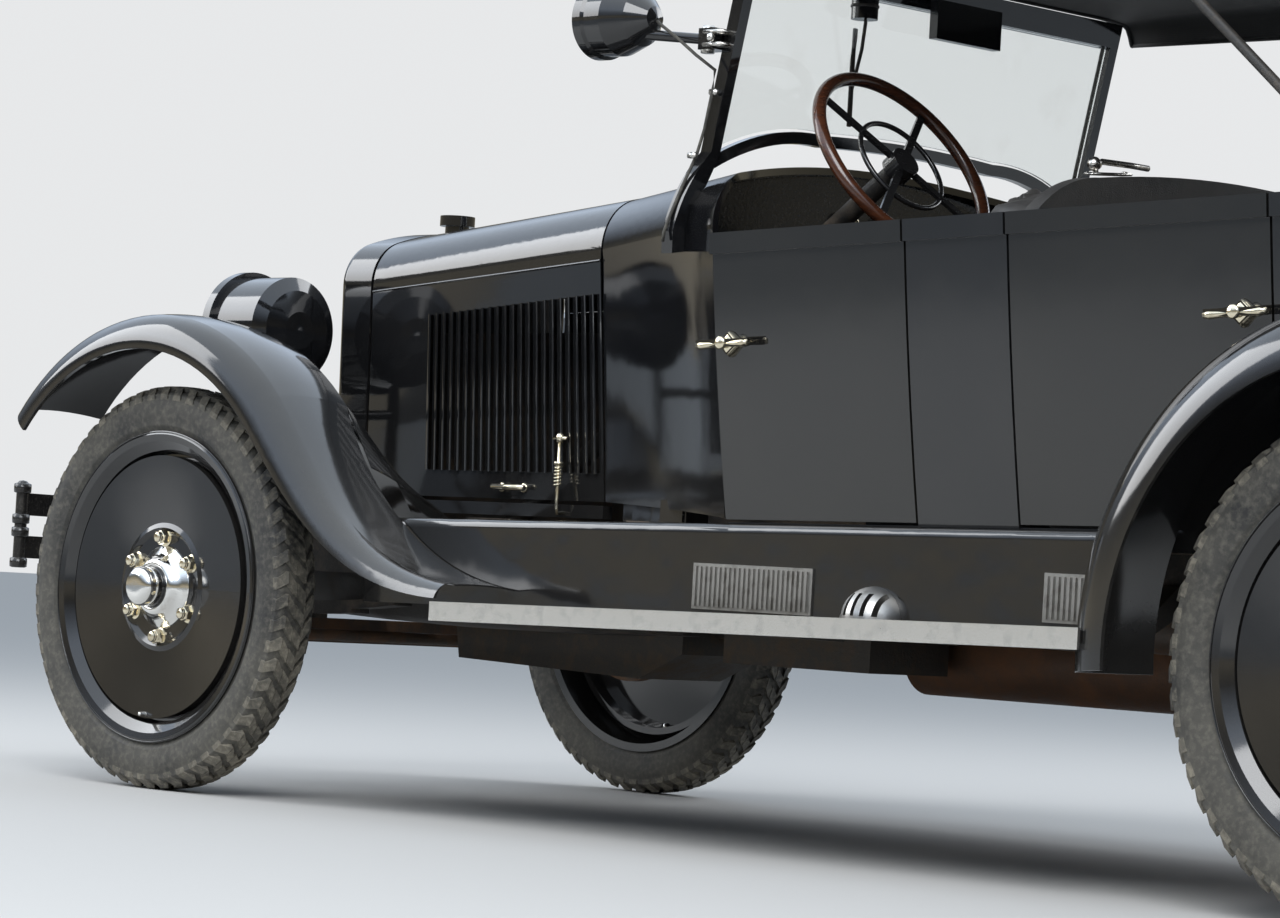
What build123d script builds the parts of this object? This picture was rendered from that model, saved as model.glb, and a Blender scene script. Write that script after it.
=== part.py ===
from build123d import *
from math import atan2, cos, degrees, hypot, pi, radians, sin, sqrt, tan
import os

# An open touring car of the 1920s with disc wheels, crowned fenders and a folding top.
# Millimetres. +X is the front, +Y the car's left, +Z up, and the ground is at Z = 0.
# The pieces are drawn with the front axle at X = 0 and moved at the end, so that the
# origin lies on the ground under the middle of the car.

# Driving sizes of the whole car
wheelbase = 3020
track = 1422
front_reach = 620          # front axle to the face of the bumper
rear_reach = 3736          # front axle to the cap of the spare wheel
panel_gap = 5              # seam round doors and hood panels
seat_gap = 0.3             # clearance between pieces that rest on each other
sheet = 3                  # fender, apron and hood steel

# Wheels and tyres
tyre_diameter = 828
tyre_width = 108
rim_diameter = 640         # over the flange
rim_width = 96
hub_bore = 44
spindle_radius = 24
hub_nuts = 6
nut_circle = 204
cap_diameter = 78
cap_reach = 95             # wheel's middle plane to the end of the cap

# Frame
rail_half_span = 375       # car centre to rail centre
rail_width = 45
rail_bottom = 465
rail_top = 580
rail_wall = 6
kick_up = 62               # rise of the rails over the rear axle
rail_front = 470
rail_rear = -3500

gearbox_half_width = 115
engine_half_width = 150

# Front axle and steering
king_half_span = 585
king_radius = 14
king_half_height = 62
steer_arm_back = 165       # from the king pin back to the tie rod
tie_rod_radius = 12
tie_pin_radius = 5.5
drum_radius = 160
drum_width = 26
hub_inner = 60            # wheel's middle plane to the inner end of its hub

# Body
body_rake = 0.0165         # the sills and boards rise this much towards the rear
sill_height = 606          # at the middle of the doors
belt_height = 1132         # top of the rolled capping at the middle of the doors
belt_slope = 0.033
middle_x = -1750
sill_half_width = 586
belt_half_width = 662
side_bulge = 9
wall = 30                  # body side with its inner trim
capping_height = 38
capping_reach = 9
cowl_front = -885
cowl_rear = -1446
front_door_rear = -1916
rear_door_front = -2155
rear_door_rear = -2704
tub_rear = -3330
tub_corner = 250
floor_height = 598
floor_half = 508           # inside the sill ring
pan_height = 680           # floor under the rear seat
ring_top = 660

# Hood and radiator: half width, shoulder radius, top height and crown radius by station
hood_front = -85
hood_low = 634
fold_front = 1060
fold_rear = 1105
louver_count = 22
louver_first = -300
louver_last = -856
louver_reach = 9
louver_bottom = 688
louver_wall = 1.8
pull_x = -595              # the hood side's pull

# Fenders and boards
edge_half_width = 838
crown_half_width = 785
inner_half_width = 598
front_edge_radius = 483
front_crown_radius = 557
rear_edge_radius = 478
rear_crown_radius = 572
board_height = 431         # top of the running board at middle_x
board_inner = 612
board_outer = 832
board_thickness = 22
board_front = -935
board_rear = -2492

axle_height = tyre_diameter / 2
front_axle_x = (rear_reach - front_reach) / 2


def rising(x, height, slope):
    """Height at x of a line that rises towards the rear and has this height at middle_x."""
    return height + slope * (middle_x - x)


def board_top(x):
    return rising(x, board_height, body_rake)


def sill(x):
    return rising(x, sill_height, body_rake)


def belt(x):
    return rising(x, belt_height, belt_slope)


def both(piece):
    """The piece and its mirror image on the car's other side."""
    return [piece, mirror(piece, about=Plane.XZ)]


def whole(*pieces):
    """One group of solids from single solids and lists of them."""
    solids = []
    for piece in pieces:
        for one in piece if isinstance(piece, (list, tuple)) else [piece]:
            solids += one.solids()
    return Compound(children=solids)


def outline(axis, at, start, steps):
    """A closed face across an axis; a step is a point, or a pair of points for an arc."""
    def point(p):
        order = {"x": (at, p[0], p[1]), "y": (p[0], at, p[1]), "z": (p[0], p[1], at)}
        return order[axis]
    edges, here = [], start
    for step in steps:
        if isinstance(step[0], (tuple, list)):
            edges.append(ThreePointArc(point(here), point(step[0]), point(step[1])))
            here = step[1]
        else:
            edges.append(Line(point(here), point(step)))
            here = step
    if hypot(here[0] - start[0], here[1] - start[1]) > 0.001:
        edges.append(Line(point(here), point(start)))
    return make_face(edges)


def across(y0, y1, points):
    """A plate drawn in side view, points are (x, z), from y0 to y1."""
    return extrude(outline("y", y0, points[0], points[1:]), amount=y1 - y0, dir=(0, 1, 0))


def along(x0, x1, points):
    """A bar drawn in front view, points are (y, z), from x0 to x1."""
    return extrude(outline("x", x0, points[0], points[1:]), amount=x1 - x0, dir=(1, 0, 0))


def upward(z0, z1, points):
    """A block drawn from above, points are (x, y), from z0 to z1."""
    return extrude(outline("z", z0, points[0], points[1:]), amount=z1 - z0, dir=(0, 0, 1))


def block(x0, x1, y0, y1, z0, z1):
    return upward(z0, z1, [(x0, y0), (x1, y0), (x1, y1), (x0, y1)])


def rod(start, end, radius):
    """A round bar from one point to another."""
    axis = Vector(*end) - Vector(*start)
    plane = Plane(origin=start, z_dir=axis.normalized())
    return extrude(plane * Circle(radius), amount=axis.length)


def tube(points, radius, bend):
    """A bent round bar along straight runs joined by arcs."""
    path = FilletPolyline(*points, radius=bend)
    first = Vector(*points[1]) - Vector(*points[0])
    return sweep(Plane(origin=points[0], z_dir=first.normalized()) * Circle(radius), path=path)


def turned(points, y=0.0, x=0.0, z=0.0):
    """A solid turned about a line across the car; points are (y, radius)."""
    profile = make_face(Polyline(*[(p[0], p[1], 0) for p in points], close=True))
    spun = revolve(profile, axis=Axis.X)
    return Pos(x, y, z) * Rot(0, 0, 90) * spun


# Wheels and tyres

def tyre():
    """A balloon tyre, its tread band slightly crowned, for a wheel centred on the origin."""
    r, half, seat = tyre_diameter / 2, tyre_width / 2, rim_diameter / 2 - 12
    edges = [
        ThreePointArc((-33, r - 7), (0, r), (33, r - 7)),
        ThreePointArc((33, r - 7), (half, (r + seat) / 2 + 4), (42, seat + 13)),
        Line((42, seat + 13), (36, seat + seat_gap)),
        Line((36, seat + seat_gap), (-36, seat + seat_gap)),
        Line((-36, seat + seat_gap), (-42, seat + 13)),
        ThreePointArc((-42, seat + 13), (-half, (r + seat) / 2 + 4), (-33, r - 7)),
    ]
    return Rot(0, 0, 90) * revolve(make_face(edges), axis=Axis.X)


def disc_wheel():
    """A pressed disc wheel: rolled rim, coned disc, hub boss, six nuts and a polished cap."""
    seat = rim_diameter / 2 - 12
    flange = rim_diameter / 2
    half = rim_width / 2
    # y is measured outwards from the wheel's middle plane
    rim = [
        (-half, flange), (-half + 5, flange), (-half + 5, seat), (half - 5, seat),
        (half - 5, flange), (half, flange), (half + 3, flange - 7), (half, flange - 20),
        (half - 14, flange - 40), (half - 40, flange - 46), (half - 40, flange - 50),
        (half - 8, flange - 50), (26, 132), (30, 122), (22, 112), (20, 64), (46, 56), (50, 42),
        (80, cap_diameter / 2), (cap_reach - 3, cap_diameter / 2 - 6), (cap_reach, 20),
        (cap_reach, 0.01), (-hub_inner, 0.01), (-hub_inner, hub_bore), (12, hub_bore), (12, 112), (20, 124), (half - 13, flange - 55),
        (half - 47, flange - 55), (half - 47, flange - 40), (half - 20, flange - 34),
        (half - 10, seat - 6), (-half, seat - 6),
    ]
    wheel = turned(rim)
    bearing = spindle_radius + seat_gap
    recess = turned([(-70, 0), (44, 0), (44, bearing), (-70, bearing)])
    wheel -= recess
    for index in range(hub_nuts):
        turn = 2 * pi * index / hub_nuts
        spot = (nut_circle / 2 * sin(turn), nut_circle / 2 * cos(turn))
        nut = rod((spot[0], 18, spot[1]), (spot[0], 46, spot[1]), 11)
        wheel += nut
    return wheel


# Running gear

def rail_side():
    """One frame rail in side view, with its front horn and the rise over the rear axle."""
    kick = rail_top + kick_up
    depth = rail_top - rail_bottom
    return [
        (rail_front, rail_bottom + 12), (rail_front + 30, rail_bottom + 26),
        (rail_front + 26, rail_bottom + 58), (rail_front - 60, rail_bottom + 72),
        (rail_front - 260, rail_top), (-wheelbase + 430, rail_top), (-wheelbase + 300, kick),
        (-wheelbase - 250, kick), (-wheelbase - 330, kick - 22), (rail_rear, kick - 30),
        (rail_rear, kick - 92), (-wheelbase - 330, kick - depth + 16),
        (-wheelbase - 230, kick - depth + 30), (-wheelbase + 270, kick - depth + 30),
        (-wheelbase + 400, rail_bottom), (rail_front - 240, rail_bottom),
        (rail_front - 60, rail_bottom + 20),
    ]


inner_face = rail_half_span - rail_width / 2
outer_face = rail_half_span + rail_width / 2


def frame_rail():
    """The ladder frame's left rail, a channel that is open towards the middle."""
    side = outline("y", inner_face, rail_side()[0], rail_side()[1:])
    rail = extrude(side, amount=rail_width, dir=(0, 1, 0))
    channel = extrude(offset(side, -rail_wall), amount=rail_width - rail_wall, dir=(0, 1, 0))
    return rail - channel


def cross_members():
    """Cross-members, gearbox arms and running board brackets of the ladder frame.

    Each is a solid of its own, a seat gap from the rail that carries it."""
    reach = inner_face - seat_gap
    members = []
    # x of the middle, half length, bottom height and depth of each cross-member
    radiator_seat = hood_low - 60 - seat_gap - 492
    for x, half, z, depth in [
            (20, 34, 492, radiator_seat), (-1960, 30, 506, 66), (rail_rear + 40, 34, 560, 70)]:
        members.append(block(x - half, x + half, -reach, reach, z, z + depth))
    # arms that hold the gearbox
    members += both(block(-1100, -1040, gearbox_half_width + seat_gap, reach, 500, 540))
    brackets = []
    for x in (-1080, -1700, -2340):
        top = board_top(x + 20) - board_thickness - seat_gap
        arm = along(x - 20, x + 20, [
            (outer_face + seat_gap, rail_bottom + 10), (outer_face + seat_gap, rail_bottom + 60),
            (outer_face + 8, rail_bottom + 60), (board_inner - 60, top),
            (board_outer - 30, top), (board_outer - 30, top - 8), (board_inner - 66, top - 14),
        ])
        brackets += both(arm)
    return whole(members, brackets)


def leaf_spring(x, half_length, y, z_ends, sag, leaves):
    """A half-elliptic spring: leaves that shorten downwards, with eyes at the ends."""
    thick, width = 9, 50
    spring = None
    for index in range(leaves):
        reach = half_length * (1 - 0.28 * index)
        low = index * thick
        drop = sag * (1 - (reach / half_length) ** 2)
        ends = z_ends - drop - low
        middle = z_ends - sag - low
        leaf = across(y - width / 2, y + width / 2, [
            (x - reach, ends), ((x, middle), (x + reach, ends)), (x + reach, ends - thick),
            ((x, middle - thick), (x - reach, ends - thick)),
        ])
        spring = leaf if spring is None else spring + leaf
    for end in (x - half_length, x + half_length):
        spring += rod((end, y - width / 2, z_ends - 6), (end, y + width / 2, z_ends - 6), 16)
    return spring


front_spring_half = 470
rear_spring_half = 560
spring_half_span = 375
rear_spring_out = 92       # the rear springs stand this much further out


def springs():
    """Four leaf springs with the blocks that clamp them to the axles."""
    front = leaf_spring(0, front_spring_half, spring_half_span, 440, 38, 4)
    rear_y = spring_half_span + rear_spring_out
    rear = leaf_spring(-wheelbase, rear_spring_half, rear_y, 545, 45, 4)
    return whole(both(front), both(rear))


def front_axle():
    """A dropped forged beam between the king pins."""
    low, end = 345, axle_height
    beam = along(-24, 24, [
        (-king_half_span + 22, end + 26), (-king_half_span + 90, end + 10), (-430, 366),
        (430, 366), (king_half_span - 90, end + 10), (king_half_span - 22, end + 26),
        (king_half_span - 22, end - 26), (king_half_span - 80, end - 36), (420, low - 30),
        (-420, low - 30), (-king_half_span + 80, end - 36), (-king_half_span + 22, end - 26),
    ])
    for side in (-1, 1):
        y = side * king_half_span
        beam += rod((0, y, axle_height - 32), (0, y, axle_height + 32), 26)
        beam -= rod((0, y, axle_height - 40), (0, y, axle_height + 40), king_radius + 0.4)
    return beam


def knuckle():
    """Left stub axle: king pin fork, brake plate, spindle and steering arm."""
    y, z = king_half_span, axle_height
    plate = track / 2 - hub_inner - 1
    body = rod((0, y, z - king_half_height), (0, y, z + king_half_height), king_radius)
    fork = block(-32, 32, y + 29, y + 42, z - king_half_height, z + king_half_height)
    for low in (z - king_half_height, z + 38):
        fork += rod((0, y, low), (0, y, low + 24), 27)
        fork += block(-22, 22, y, y + 32, low, low + 24)
    body += fork
    body += rod((0, plate - drum_width, z), (0, plate, z), drum_radius)
    body += rod((0, plate - 1, z), (0, track / 2 + 38, z), spindle_radius)
    tip = -steer_arm_back
    arm = upward(z - king_half_height, z - king_half_height + 16, [
        (-6, y - 22), (tip + 4, y - 15), ((tip - 15, y), (tip + 4, y + 15)), (-6, y + 22)])
    arm -= rod((tip, y, z - 80), (tip, y, z - 30), tie_pin_radius + seat_gap)
    return body + arm


def tie_rod():
    """The rod behind the axle that joins the two steering arms."""
    half = king_half_span
    z = axle_height - king_half_height - 18
    body = rod((-steer_arm_back, -half, z), (-steer_arm_back, half, z), tie_rod_radius)
    for y in (-half, half):
        body += rod((-steer_arm_back, y, z - 15), (-steer_arm_back, y, z + 15), 17)
        body += rod((-steer_arm_back, y, z + 10), (-steer_arm_back, y, z + 32), tie_pin_radius)
    return body


def rear_axle():
    """Banjo axle with its drums, spindles and the drive tube to the gearbox."""
    x, z = -wheelbase, axle_height
    plate = track / 2 - hub_inner - 1
    half = [
        (0, 0), (0, 150), (50, 141), (100, 112), (140, 62), (180, 40), (plate - 44, 40),
        (plate - 44, drum_radius), (plate, drum_radius), (plate, spindle_radius),
        (track / 2 + 38, spindle_radius),
        (track / 2 + 38, 0),
    ]
    other = [(-y, r) for y, r in reversed(half[2:-1])]
    axle = turned([(-track / 2 - 38, 0)] + other + half[1:], 0, x, z)
    for side in (-1, 1):
        seat_y = side * (spring_half_span + rear_spring_out)
        axle += block(x - 60, x + 60, seat_y - 28, seat_y + 28, z, 545 - 45 - 4 * 9 - seat_gap)
    return axle + rod((x, 0, z), (-1520, 0, z + 48), 44)


def powertrain():
    """Engine block, bell housing and gearbox as one heavy mass with its oil pan."""
    engine = block(-820, -170, -engine_half_width, engine_half_width, 430, 985)
    pan = across(-120, 120, [(-215, 440), (-240, 300), (-780, 285), (-900, 340), (-900, 440)])
    bell = rod((-820, 0, 478), (-1012, 0, 470), 100)
    box = block(-1400, -1010, -gearbox_half_width, gearbox_half_width, 330, 560)
    tail = rod((-1400, 0, 465), (-1515, 0, 463), 70)
    return engine + pan + bell + box + tail


def exhaust():
    """Down pipe from the engine, long muffler on its hanger, and tail pipe."""
    y, z = -235, 372
    start = -engine_half_width - seat_gap
    muffler = rod((-1250, y, z), (-2080, y, z), 84)
    front = tube([(-700, start, 620), (-700, y, 620), (-700, y, z), (-1252, y, z)], 24, 60)
    tail = tube([(-2078, y, z), (-2500, y, z), (-2720, y - 8, 300), (-3420, y - 8, 300)], 22, 90)
    hanger = rod((-1960, y, z + 80), (-1960, y, 506 - seat_gap), 9)
    return muffler + front + tail + hanger


def fuel_tank():
    """An oval tank behind the axle, with the hangers that hold it to the rear cross-member."""
    tank = fillet(block(-3440, -3215, -300, 300, 350, 545).edges().filter_by(Axis.Y), 70)
    for side in (-1, 1):
        tank += block(-3450, -3300, side * 260 - 20, side * 260 + 20, 544, 560 - seat_gap)
    return tank


# Radiator, hood and cowl

def section_arcs(w, shoulder, top, crown):
    """The shoulder arc's centre height and the tangent point where the crown begins."""
    centre = top - crown
    z1 = centre + sqrt((crown - shoulder) ** 2 - (w - shoulder) ** 2)
    ux, uz = (w - shoulder) / (crown - shoulder), (z1 - centre) / (crown - shoulder)
    return z1, (crown * ux, centre + crown * uz), (ux, uz)


def bonnet_face(x, w, low_w, low, shoulder, top, crown, inset=0.0, cut=0.0):
    """Front view of hood, shell or cowl at x, both sides, inset for the inner skin."""
    w, low_w, shoulder, top = w - inset, low_w - inset, shoulder - inset, top - inset
    crown -= inset
    z1, joint, unit = section_arcs(w, shoulder, top, crown)
    angle = atan2(unit[1], unit[0]) / 2
    mid = (w - shoulder + shoulder * cos(angle), z1 + shoulder * sin(angle))
    low -= cut
    return outline("x", x, (-low_w, low), [
        (low_w, low), (w, z1), (mid, joint), ((0, top), (-joint[0], joint[1])),
        ((-mid[0], mid[1]), (-w, z1)), (-low_w, low),
    ])


def hood_top_face(x, w, fold, shoulder, top, crown, inset):
    """Left half of the hood's top panel at x, as a thin closed shape."""
    def arcs(step):
        z1, joint, unit = section_arcs(w - step, shoulder - step, top - step, crown - step)
        angle = atan2(unit[1], unit[0]) / 2
        r = shoulder - step
        mid = (w - shoulder + r * cos(angle), z1 + r * sin(angle))
        edge = panel_gap + 1
        height = top - crown + sqrt((crown - step) ** 2 - edge ** 2)
        half = joint[0] / 2
        crest = (half, top - crown + sqrt((crown - step) ** 2 - half ** 2))
        return z1, joint, mid, (edge, height), crest
    z1, joint, mid, end, crest = arcs(0)
    z2, joint2, mid2, end2, crest2 = arcs(inset)
    return outline("x", x, (w - inset, fold), [
        (w, fold), (w, z1), (mid, joint), (crest, end), end2, (crest2, joint2),
        (mid2, (w - inset, z2)),
    ])


# Stations of the body's front part: x, half width, half width at the bottom, bottom
# height, shoulder radius, top height, crown radius
radiator_station = (hood_front, 285, 272, hood_low, 100, 1210, 650)
seam_station = (cowl_front, 392, 344, hood_low, 110, 1276, 1200)
flare_station = (-1160, 505, 440, 622, 110, 1300, 1700)
door_station = (cowl_rear, belt_half_width, sill_half_width, 606, 110, 1318, 2400)


def radiator_shell():
    """Black shell with a round-shouldered opening, a ledge for the hood and the filler cap."""
    x, w, low_w, low, shoulder, top, crown = radiator_station
    face = bonnet_face(x + 8, w, low_w, low - 60, shoulder, top, crown)
    body = extrude(face, amount=104, dir=(1, 0, 0))
    front = body.faces().sort_by(Axis.X)[-1]
    body = fillet(front.outer_wire().edges().filter_by(lambda e: e.center().Z > low), 22)
    opening = bonnet_face(x - 10, w, low_w, low - 60, shoulder, top, crown, inset=46, cut=-50)
    body -= extrude(opening, amount=140, dir=(1, 0, 0))
    cavity = bonnet_face(x + 7, w, low_w, low - 60, shoulder, top, crown, inset=4, cut=-20)
    body -= extrude(cavity, amount=84, dir=(1, 0, 0))
    cap = rod((x + 62, 0, top - 6), (x + 62, 0, top + 22), 26)
    cap += rod((x + 62, 0, top + 20), (x + 62, 0, top + 42), 38)
    return body + cap


def radiator_core():
    """The core block with its upright fins, standing behind the shell's opening."""
    x, w, low_w, low, shoulder, top, crown = radiator_station
    face = bonnet_face(x + 22, w, low_w, low - 60, shoulder, top, crown, inset=8, cut=-26)
    core = extrude(face, amount=52, dir=(1, 0, 0))
    count = 24
    pitch = 2 * (low_w - 52) / count
    grooves = []
    for index in range(count):
        y = -low_w + 52 + pitch * (index + 0.5)
        grooves.append(block(x + 62, x + 90, y - 5, y + 5, low + 20, top - 62))
    return core - grooves


def hood_top():
    """Left top panel of the hood, from the centre hinge to the fold."""
    x0, w0, _, _, r0, top0, crown0 = radiator_station
    x1, w1, _, _, r1, top1, crown1 = seam_station
    front = hood_top_face(x0, w0, fold_front + panel_gap, r0, top0, crown0, sheet)
    rear = hood_top_face(x1 + panel_gap, w1, fold_rear + panel_gap, r1, top1, crown1, sheet)
    return loft([rear, front], ruled=True)


def hood_side(side):
    """Side panel of the hood with its row of raised upright louvers; side is 1 or -1."""
    x0, w0, low_w0 = radiator_station[:3]
    x1, w1, low_w1 = seam_station[:3]
    rear_x = x1 + panel_gap

    def edge(x, part):
        """Outer skin at x: part 0 is the bottom edge, 1 the fold."""
        s = (x - x0) / (rear_x - x0)
        low = (low_w0 + s * (low_w1 - low_w0), hood_low)
        fold = (w0 + s * (w1 - w0), fold_front + s * (fold_rear - fold_front))
        y, z = [a + part * (b - a) for a, b in zip(low, fold)]
        return side * y, z

    faces = []
    for x in (rear_x, x0):
        (yb, zb), (yt, zt) = edge(x, 0), edge(x, 1)
        faces.append(outline("x", x, (yb - side * sheet, zb), [
            (yb, zb), (yt, zt), (yt - side * sheet, zt)]))
    panel = loft(faces, ruled=True)
    pitch = (louver_first - louver_last) / (louver_count - 1)
    ridges, pockets = [], []
    for index in range(louver_count):
        x = louver_first - index * pitch
        height = edge(x, 1)[1] - hood_low
        low_part, high_part = (louver_bottom - hood_low) / height, 1 - 62 / height
        (yb, zb), (yt, zt) = edge(x, low_part), edge(x, high_part)
        slope = (yt - yb) / (zt - zb)
        run = Vector(0, yt - yb, zt - zb)
        ridge = outline("z", zb, (x + 7, yb - side * 1.5), [
            (x + 7, yb + side * 0.4),
            ((x - 1, yb + side * (louver_reach - 2.5)), (x - 9, yb + side * louver_reach)),
            (x - 9, yb - side * 1.5)])
        ridges.append(extrude(ridge, amount=run.length, dir=run.normalized()))
        rise = louver_wall
        y2 = yb + rise * slope
        pocket = outline("z", zb + rise, (x + 3, y2 - side * 8), [
            (x + 3, y2 - side * 0.4),
            ((x - 3, y2 + side * (louver_reach - 4.6)), (x - 12, y2 + side * (louver_reach - 1.8))),
            (x - 12, y2 - side * 8)])
        inner = run * ((run.Z - 2 * rise) / run.Z)
        pockets.append(extrude(pocket, amount=inner.length, dir=inner.normalized()))
    body = (panel + ridges) - pockets
    pin_drop = 0.3
    ends = [(x, edge(x, 1)[0], edge(x, 1)[1] + panel_gap / 2 - pin_drop) for x in (x0, rear_x)]
    body += rod(ends[0], ends[1], panel_gap / 2)
    y, z = edge(pull_x, 0.05)
    body += rod((pull_x - 45, y + side * 15, z), (pull_x + 45, y + side * 15, z), 5)
    for post in (pull_x - 32, pull_x + 32):
        body += rod((post, y - side, z), (post, y + side * 15, z), 3.5)
    return body


def hood_rail():
    """Centre hinge rod of the hood and the ledges that its sides close on."""
    x0, top0, x1, top1 = radiator_station[0], radiator_station[5], seam_station[0], seam_station[5]
    hinge = rod((x0 + 7, 0, top0 - 6), (x1 + 1, 0, top1 - 6), 6.2)
    ledge = upward(hood_low - 34, hood_low - 8, [
        (x0 + 7, 250), (x0 + 7, 276), (x1, 350), (x1, 324),
    ])
    column = rod(column_point(900), column_point(1250), column_radius + 1)
    return whole(hinge, ledge - column, mirror(ledge, about=Plane.XZ))


def cowl_faces(inset, front, rear, cut):
    """The cowl's three stations as faces, for the outer or the inner skin."""
    faces = []
    for station, x in zip((door_station, flare_station, seam_station), (rear, flare_station[0], front)):
        _, w, low_w, low, shoulder, top, crown = station
        faces.append(bonnet_face(x, w, low_w, low, shoulder, top, crown, inset, cut))
    return faces


def cowl():
    """Flared cowl with its firewall; the rear is cut away in a wide horseshoe."""
    thick = 14
    body = loft(cowl_faces(0, cowl_front, cowl_rear, 0))
    body -= loft(cowl_faces(thick, cowl_front - thick, cowl_rear - 1, 30))
    horseshoe = upward(belt(cowl_rear), 1500, [
        (cowl_rear - 10, 640), ((-1275, 0), (cowl_rear - 10, -640)),
    ])
    column = rod(column_point(500), column_point(1100), column_radius + 1)
    body = body - horseshoe - column
    for side in (-1, 1):
        low_half = flare_station[2]
        outer, inner = side * (low_half - 3), side * (rail_half_span - 10)
        body += block(-1190, -1130, min(outer, inner), max(outer, inner), floor_height + seat_gap, 640)
    return body


def dashboard():
    """Instrument board under the cowl, with three dials."""
    inside = loft(cowl_faces(14 + seat_gap, cowl_front - 14, cowl_rear - 1, 30))
    board = inside & block(-1262, -1244, -700, 700, 1085, 1400)
    for y in (-110, 0, 110):
        board += rod((-1262, y, 1180), (-1270, y, 1180), 42)
    return board - rod(column_point(200), column_point(600), column_radius + 1)


# Body tub and doors

def tub_points(half, rear, corner, front):
    """The body in plan: straight sides and a round-cornered back."""
    k = corner * (1 - cos(pi / 4))
    return [
        (front, -half), (rear + corner, -half), ((rear + k, -half + k), (rear, -half + corner)),
        (rear, half - corner), ((rear + k, half - k), (rear + corner, half)), (front, half),
    ]


def tub_loft(step, front, low=560.0, high=1260.0):
    """The body's outer skin grown by step, from low to high."""
    spread = (belt_half_width - sill_half_width) / (belt_height - sill_height)
    faces = []
    for z in (low, (low + high) / 2, high):
        bulge = side_bulge * (1 - ((z - (low + high) / 2) / ((high - low) / 2)) ** 2)
        half = sill_half_width + spread * (z - sill_height) + bulge + step
        rear = tub_rear + 0.10 * (high - z) - step
        points = tub_points(half, rear, tub_corner + step, front)
        faces.append(outline("z", z, points[0], points[1:]))
    return loft(faces)


def under(height_at, margin=0.0):
    """Everything below a line that rises towards the rear."""
    front, rear = 200, -3800
    return across(-1000, 1000, [
        (front, -400), (front, height_at(front) + margin), (rear, height_at(rear) + margin),
        (rear, -400)])


def side_wall():
    """Body side and back with the rolled capping, before the doors are parted."""
    front = cowl_rear - panel_gap
    skin = tub_loft(0, front) - tub_loft(-wall, front + 1, 559, 1261)
    skin = (skin & under(belt)) - under(sill, -4)
    roll = tub_loft(capping_reach, front) - tub_loft(-wall - 4, front + 1, 559, 1261)
    roll = (roll & under(belt)) - under(belt, -capping_height)
    return skin + roll


def door_prism(x0, x1, grow):
    """The space of one left door between two upright edges, above the rear fender."""
    space = block(x1 - grow, x0 + grow, 400, 800, 300, 1400)
    clear = rear_crown_radius + 30 - grow
    return space - rod((-wheelbase, 380, axle_height), (-wheelbase, 820, axle_height), clear)


front_door_span = (cowl_rear - panel_gap, front_door_rear)
rear_door_span = (rear_door_front, rear_door_rear)


def handle(x, z):
    """Lever handle on a diamond-shaped boss."""
    spread = (belt_half_width - sill_half_width) / (belt_height - sill_height)
    y = sill_half_width + spread * (z - sill_height) + side_bulge - 3
    boss = across(y, y + 16, [(x - 24, z), (x, z + 20), (x + 24, z), (x, z - 20)])
    bar = across(y + 22, y + 34, [(x - 62, z - 5), (x + 58, z - 8), (x + 62, z + 4), (x - 58, z + 9)])
    return boss + bar + rod((x, y + 14, z), (x, y + 24, z), 9)


def doors(shell):
    """The four doors: fronts hinged at the rear edge, rears at the front edge."""
    made = {}
    for name, span, x, z in (("front", front_door_span, -1492, 922), ("rear", rear_door_span, -2650, 972)):
        leaf = (shell & door_prism(span[0], span[1], 0)) - under(sill, 3)
        leaf += handle(x, z)
        made[f"door_{name}_left"] = leaf
        made[f"door_{name}_right"] = mirror(leaf, about=Plane.XZ)
    return made


def tub(shell):
    """Pillars, quarters and back of the body on a sill ring."""
    body = shell
    for span in (front_door_span, rear_door_span):
        opening = door_prism(span[0] + 20 if span is front_door_span else span[0], span[1], panel_gap)
        body -= opening
        body -= mirror(opening, about=Plane.XZ)
    inside = inner_half_width - seat_gap
    liner = rod((-wheelbase, inside - 9, axle_height), (-wheelbase, inside, axle_height), 566)
    liner -= under(sill, -2)
    wheel_arch = wheel_house(-wheelbase, rear_edge_radius, rear_crown_radius, inside)
    hollow = rod((-wheelbase, 540, axle_height), (-wheelbase, inside + 1, axle_height), 470)
    body = body - wheel_arch - mirror(wheel_arch, about=Plane.XZ)
    body = body + liner + mirror(liner, about=Plane.XZ)
    body = body - hollow - mirror(hollow, about=Plane.XZ)
    ring = tub_loft(-4, cowl_rear - panel_gap) & block(-3700, 0, -800, 800, rail_top + seat_gap, ring_top)
    ring -= block(-3180, 200, -floor_half, floor_half, 500, 700)
    ring = ring & under(sill, -2)
    ring = ring - hollow - mirror(hollow, about=Plane.XZ)
    body += ring
    for z in (700, 1010):
        skin = sill_half_width + (belt_half_width - sill_half_width) * (z - sill_height) / (
            belt_height - sill_height)
        for x in (front_door_rear - panel_gap, rear_door_front + seat_gap):
            butt = block(x, x + panel_gap - seat_gap, skin - 12, skin, z, z + 60)
            body = body + butt + mirror(butt, about=Plane.XZ)
    notch = block(-3420, -3150, rail_half_span - 30, rail_half_span + 30, 500, rail_top + kick_up + 6)
    return body - notch - mirror(notch, about=Plane.XZ)


toe_low = (-1008, 598)
toe_high = (-912, 776)


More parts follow.
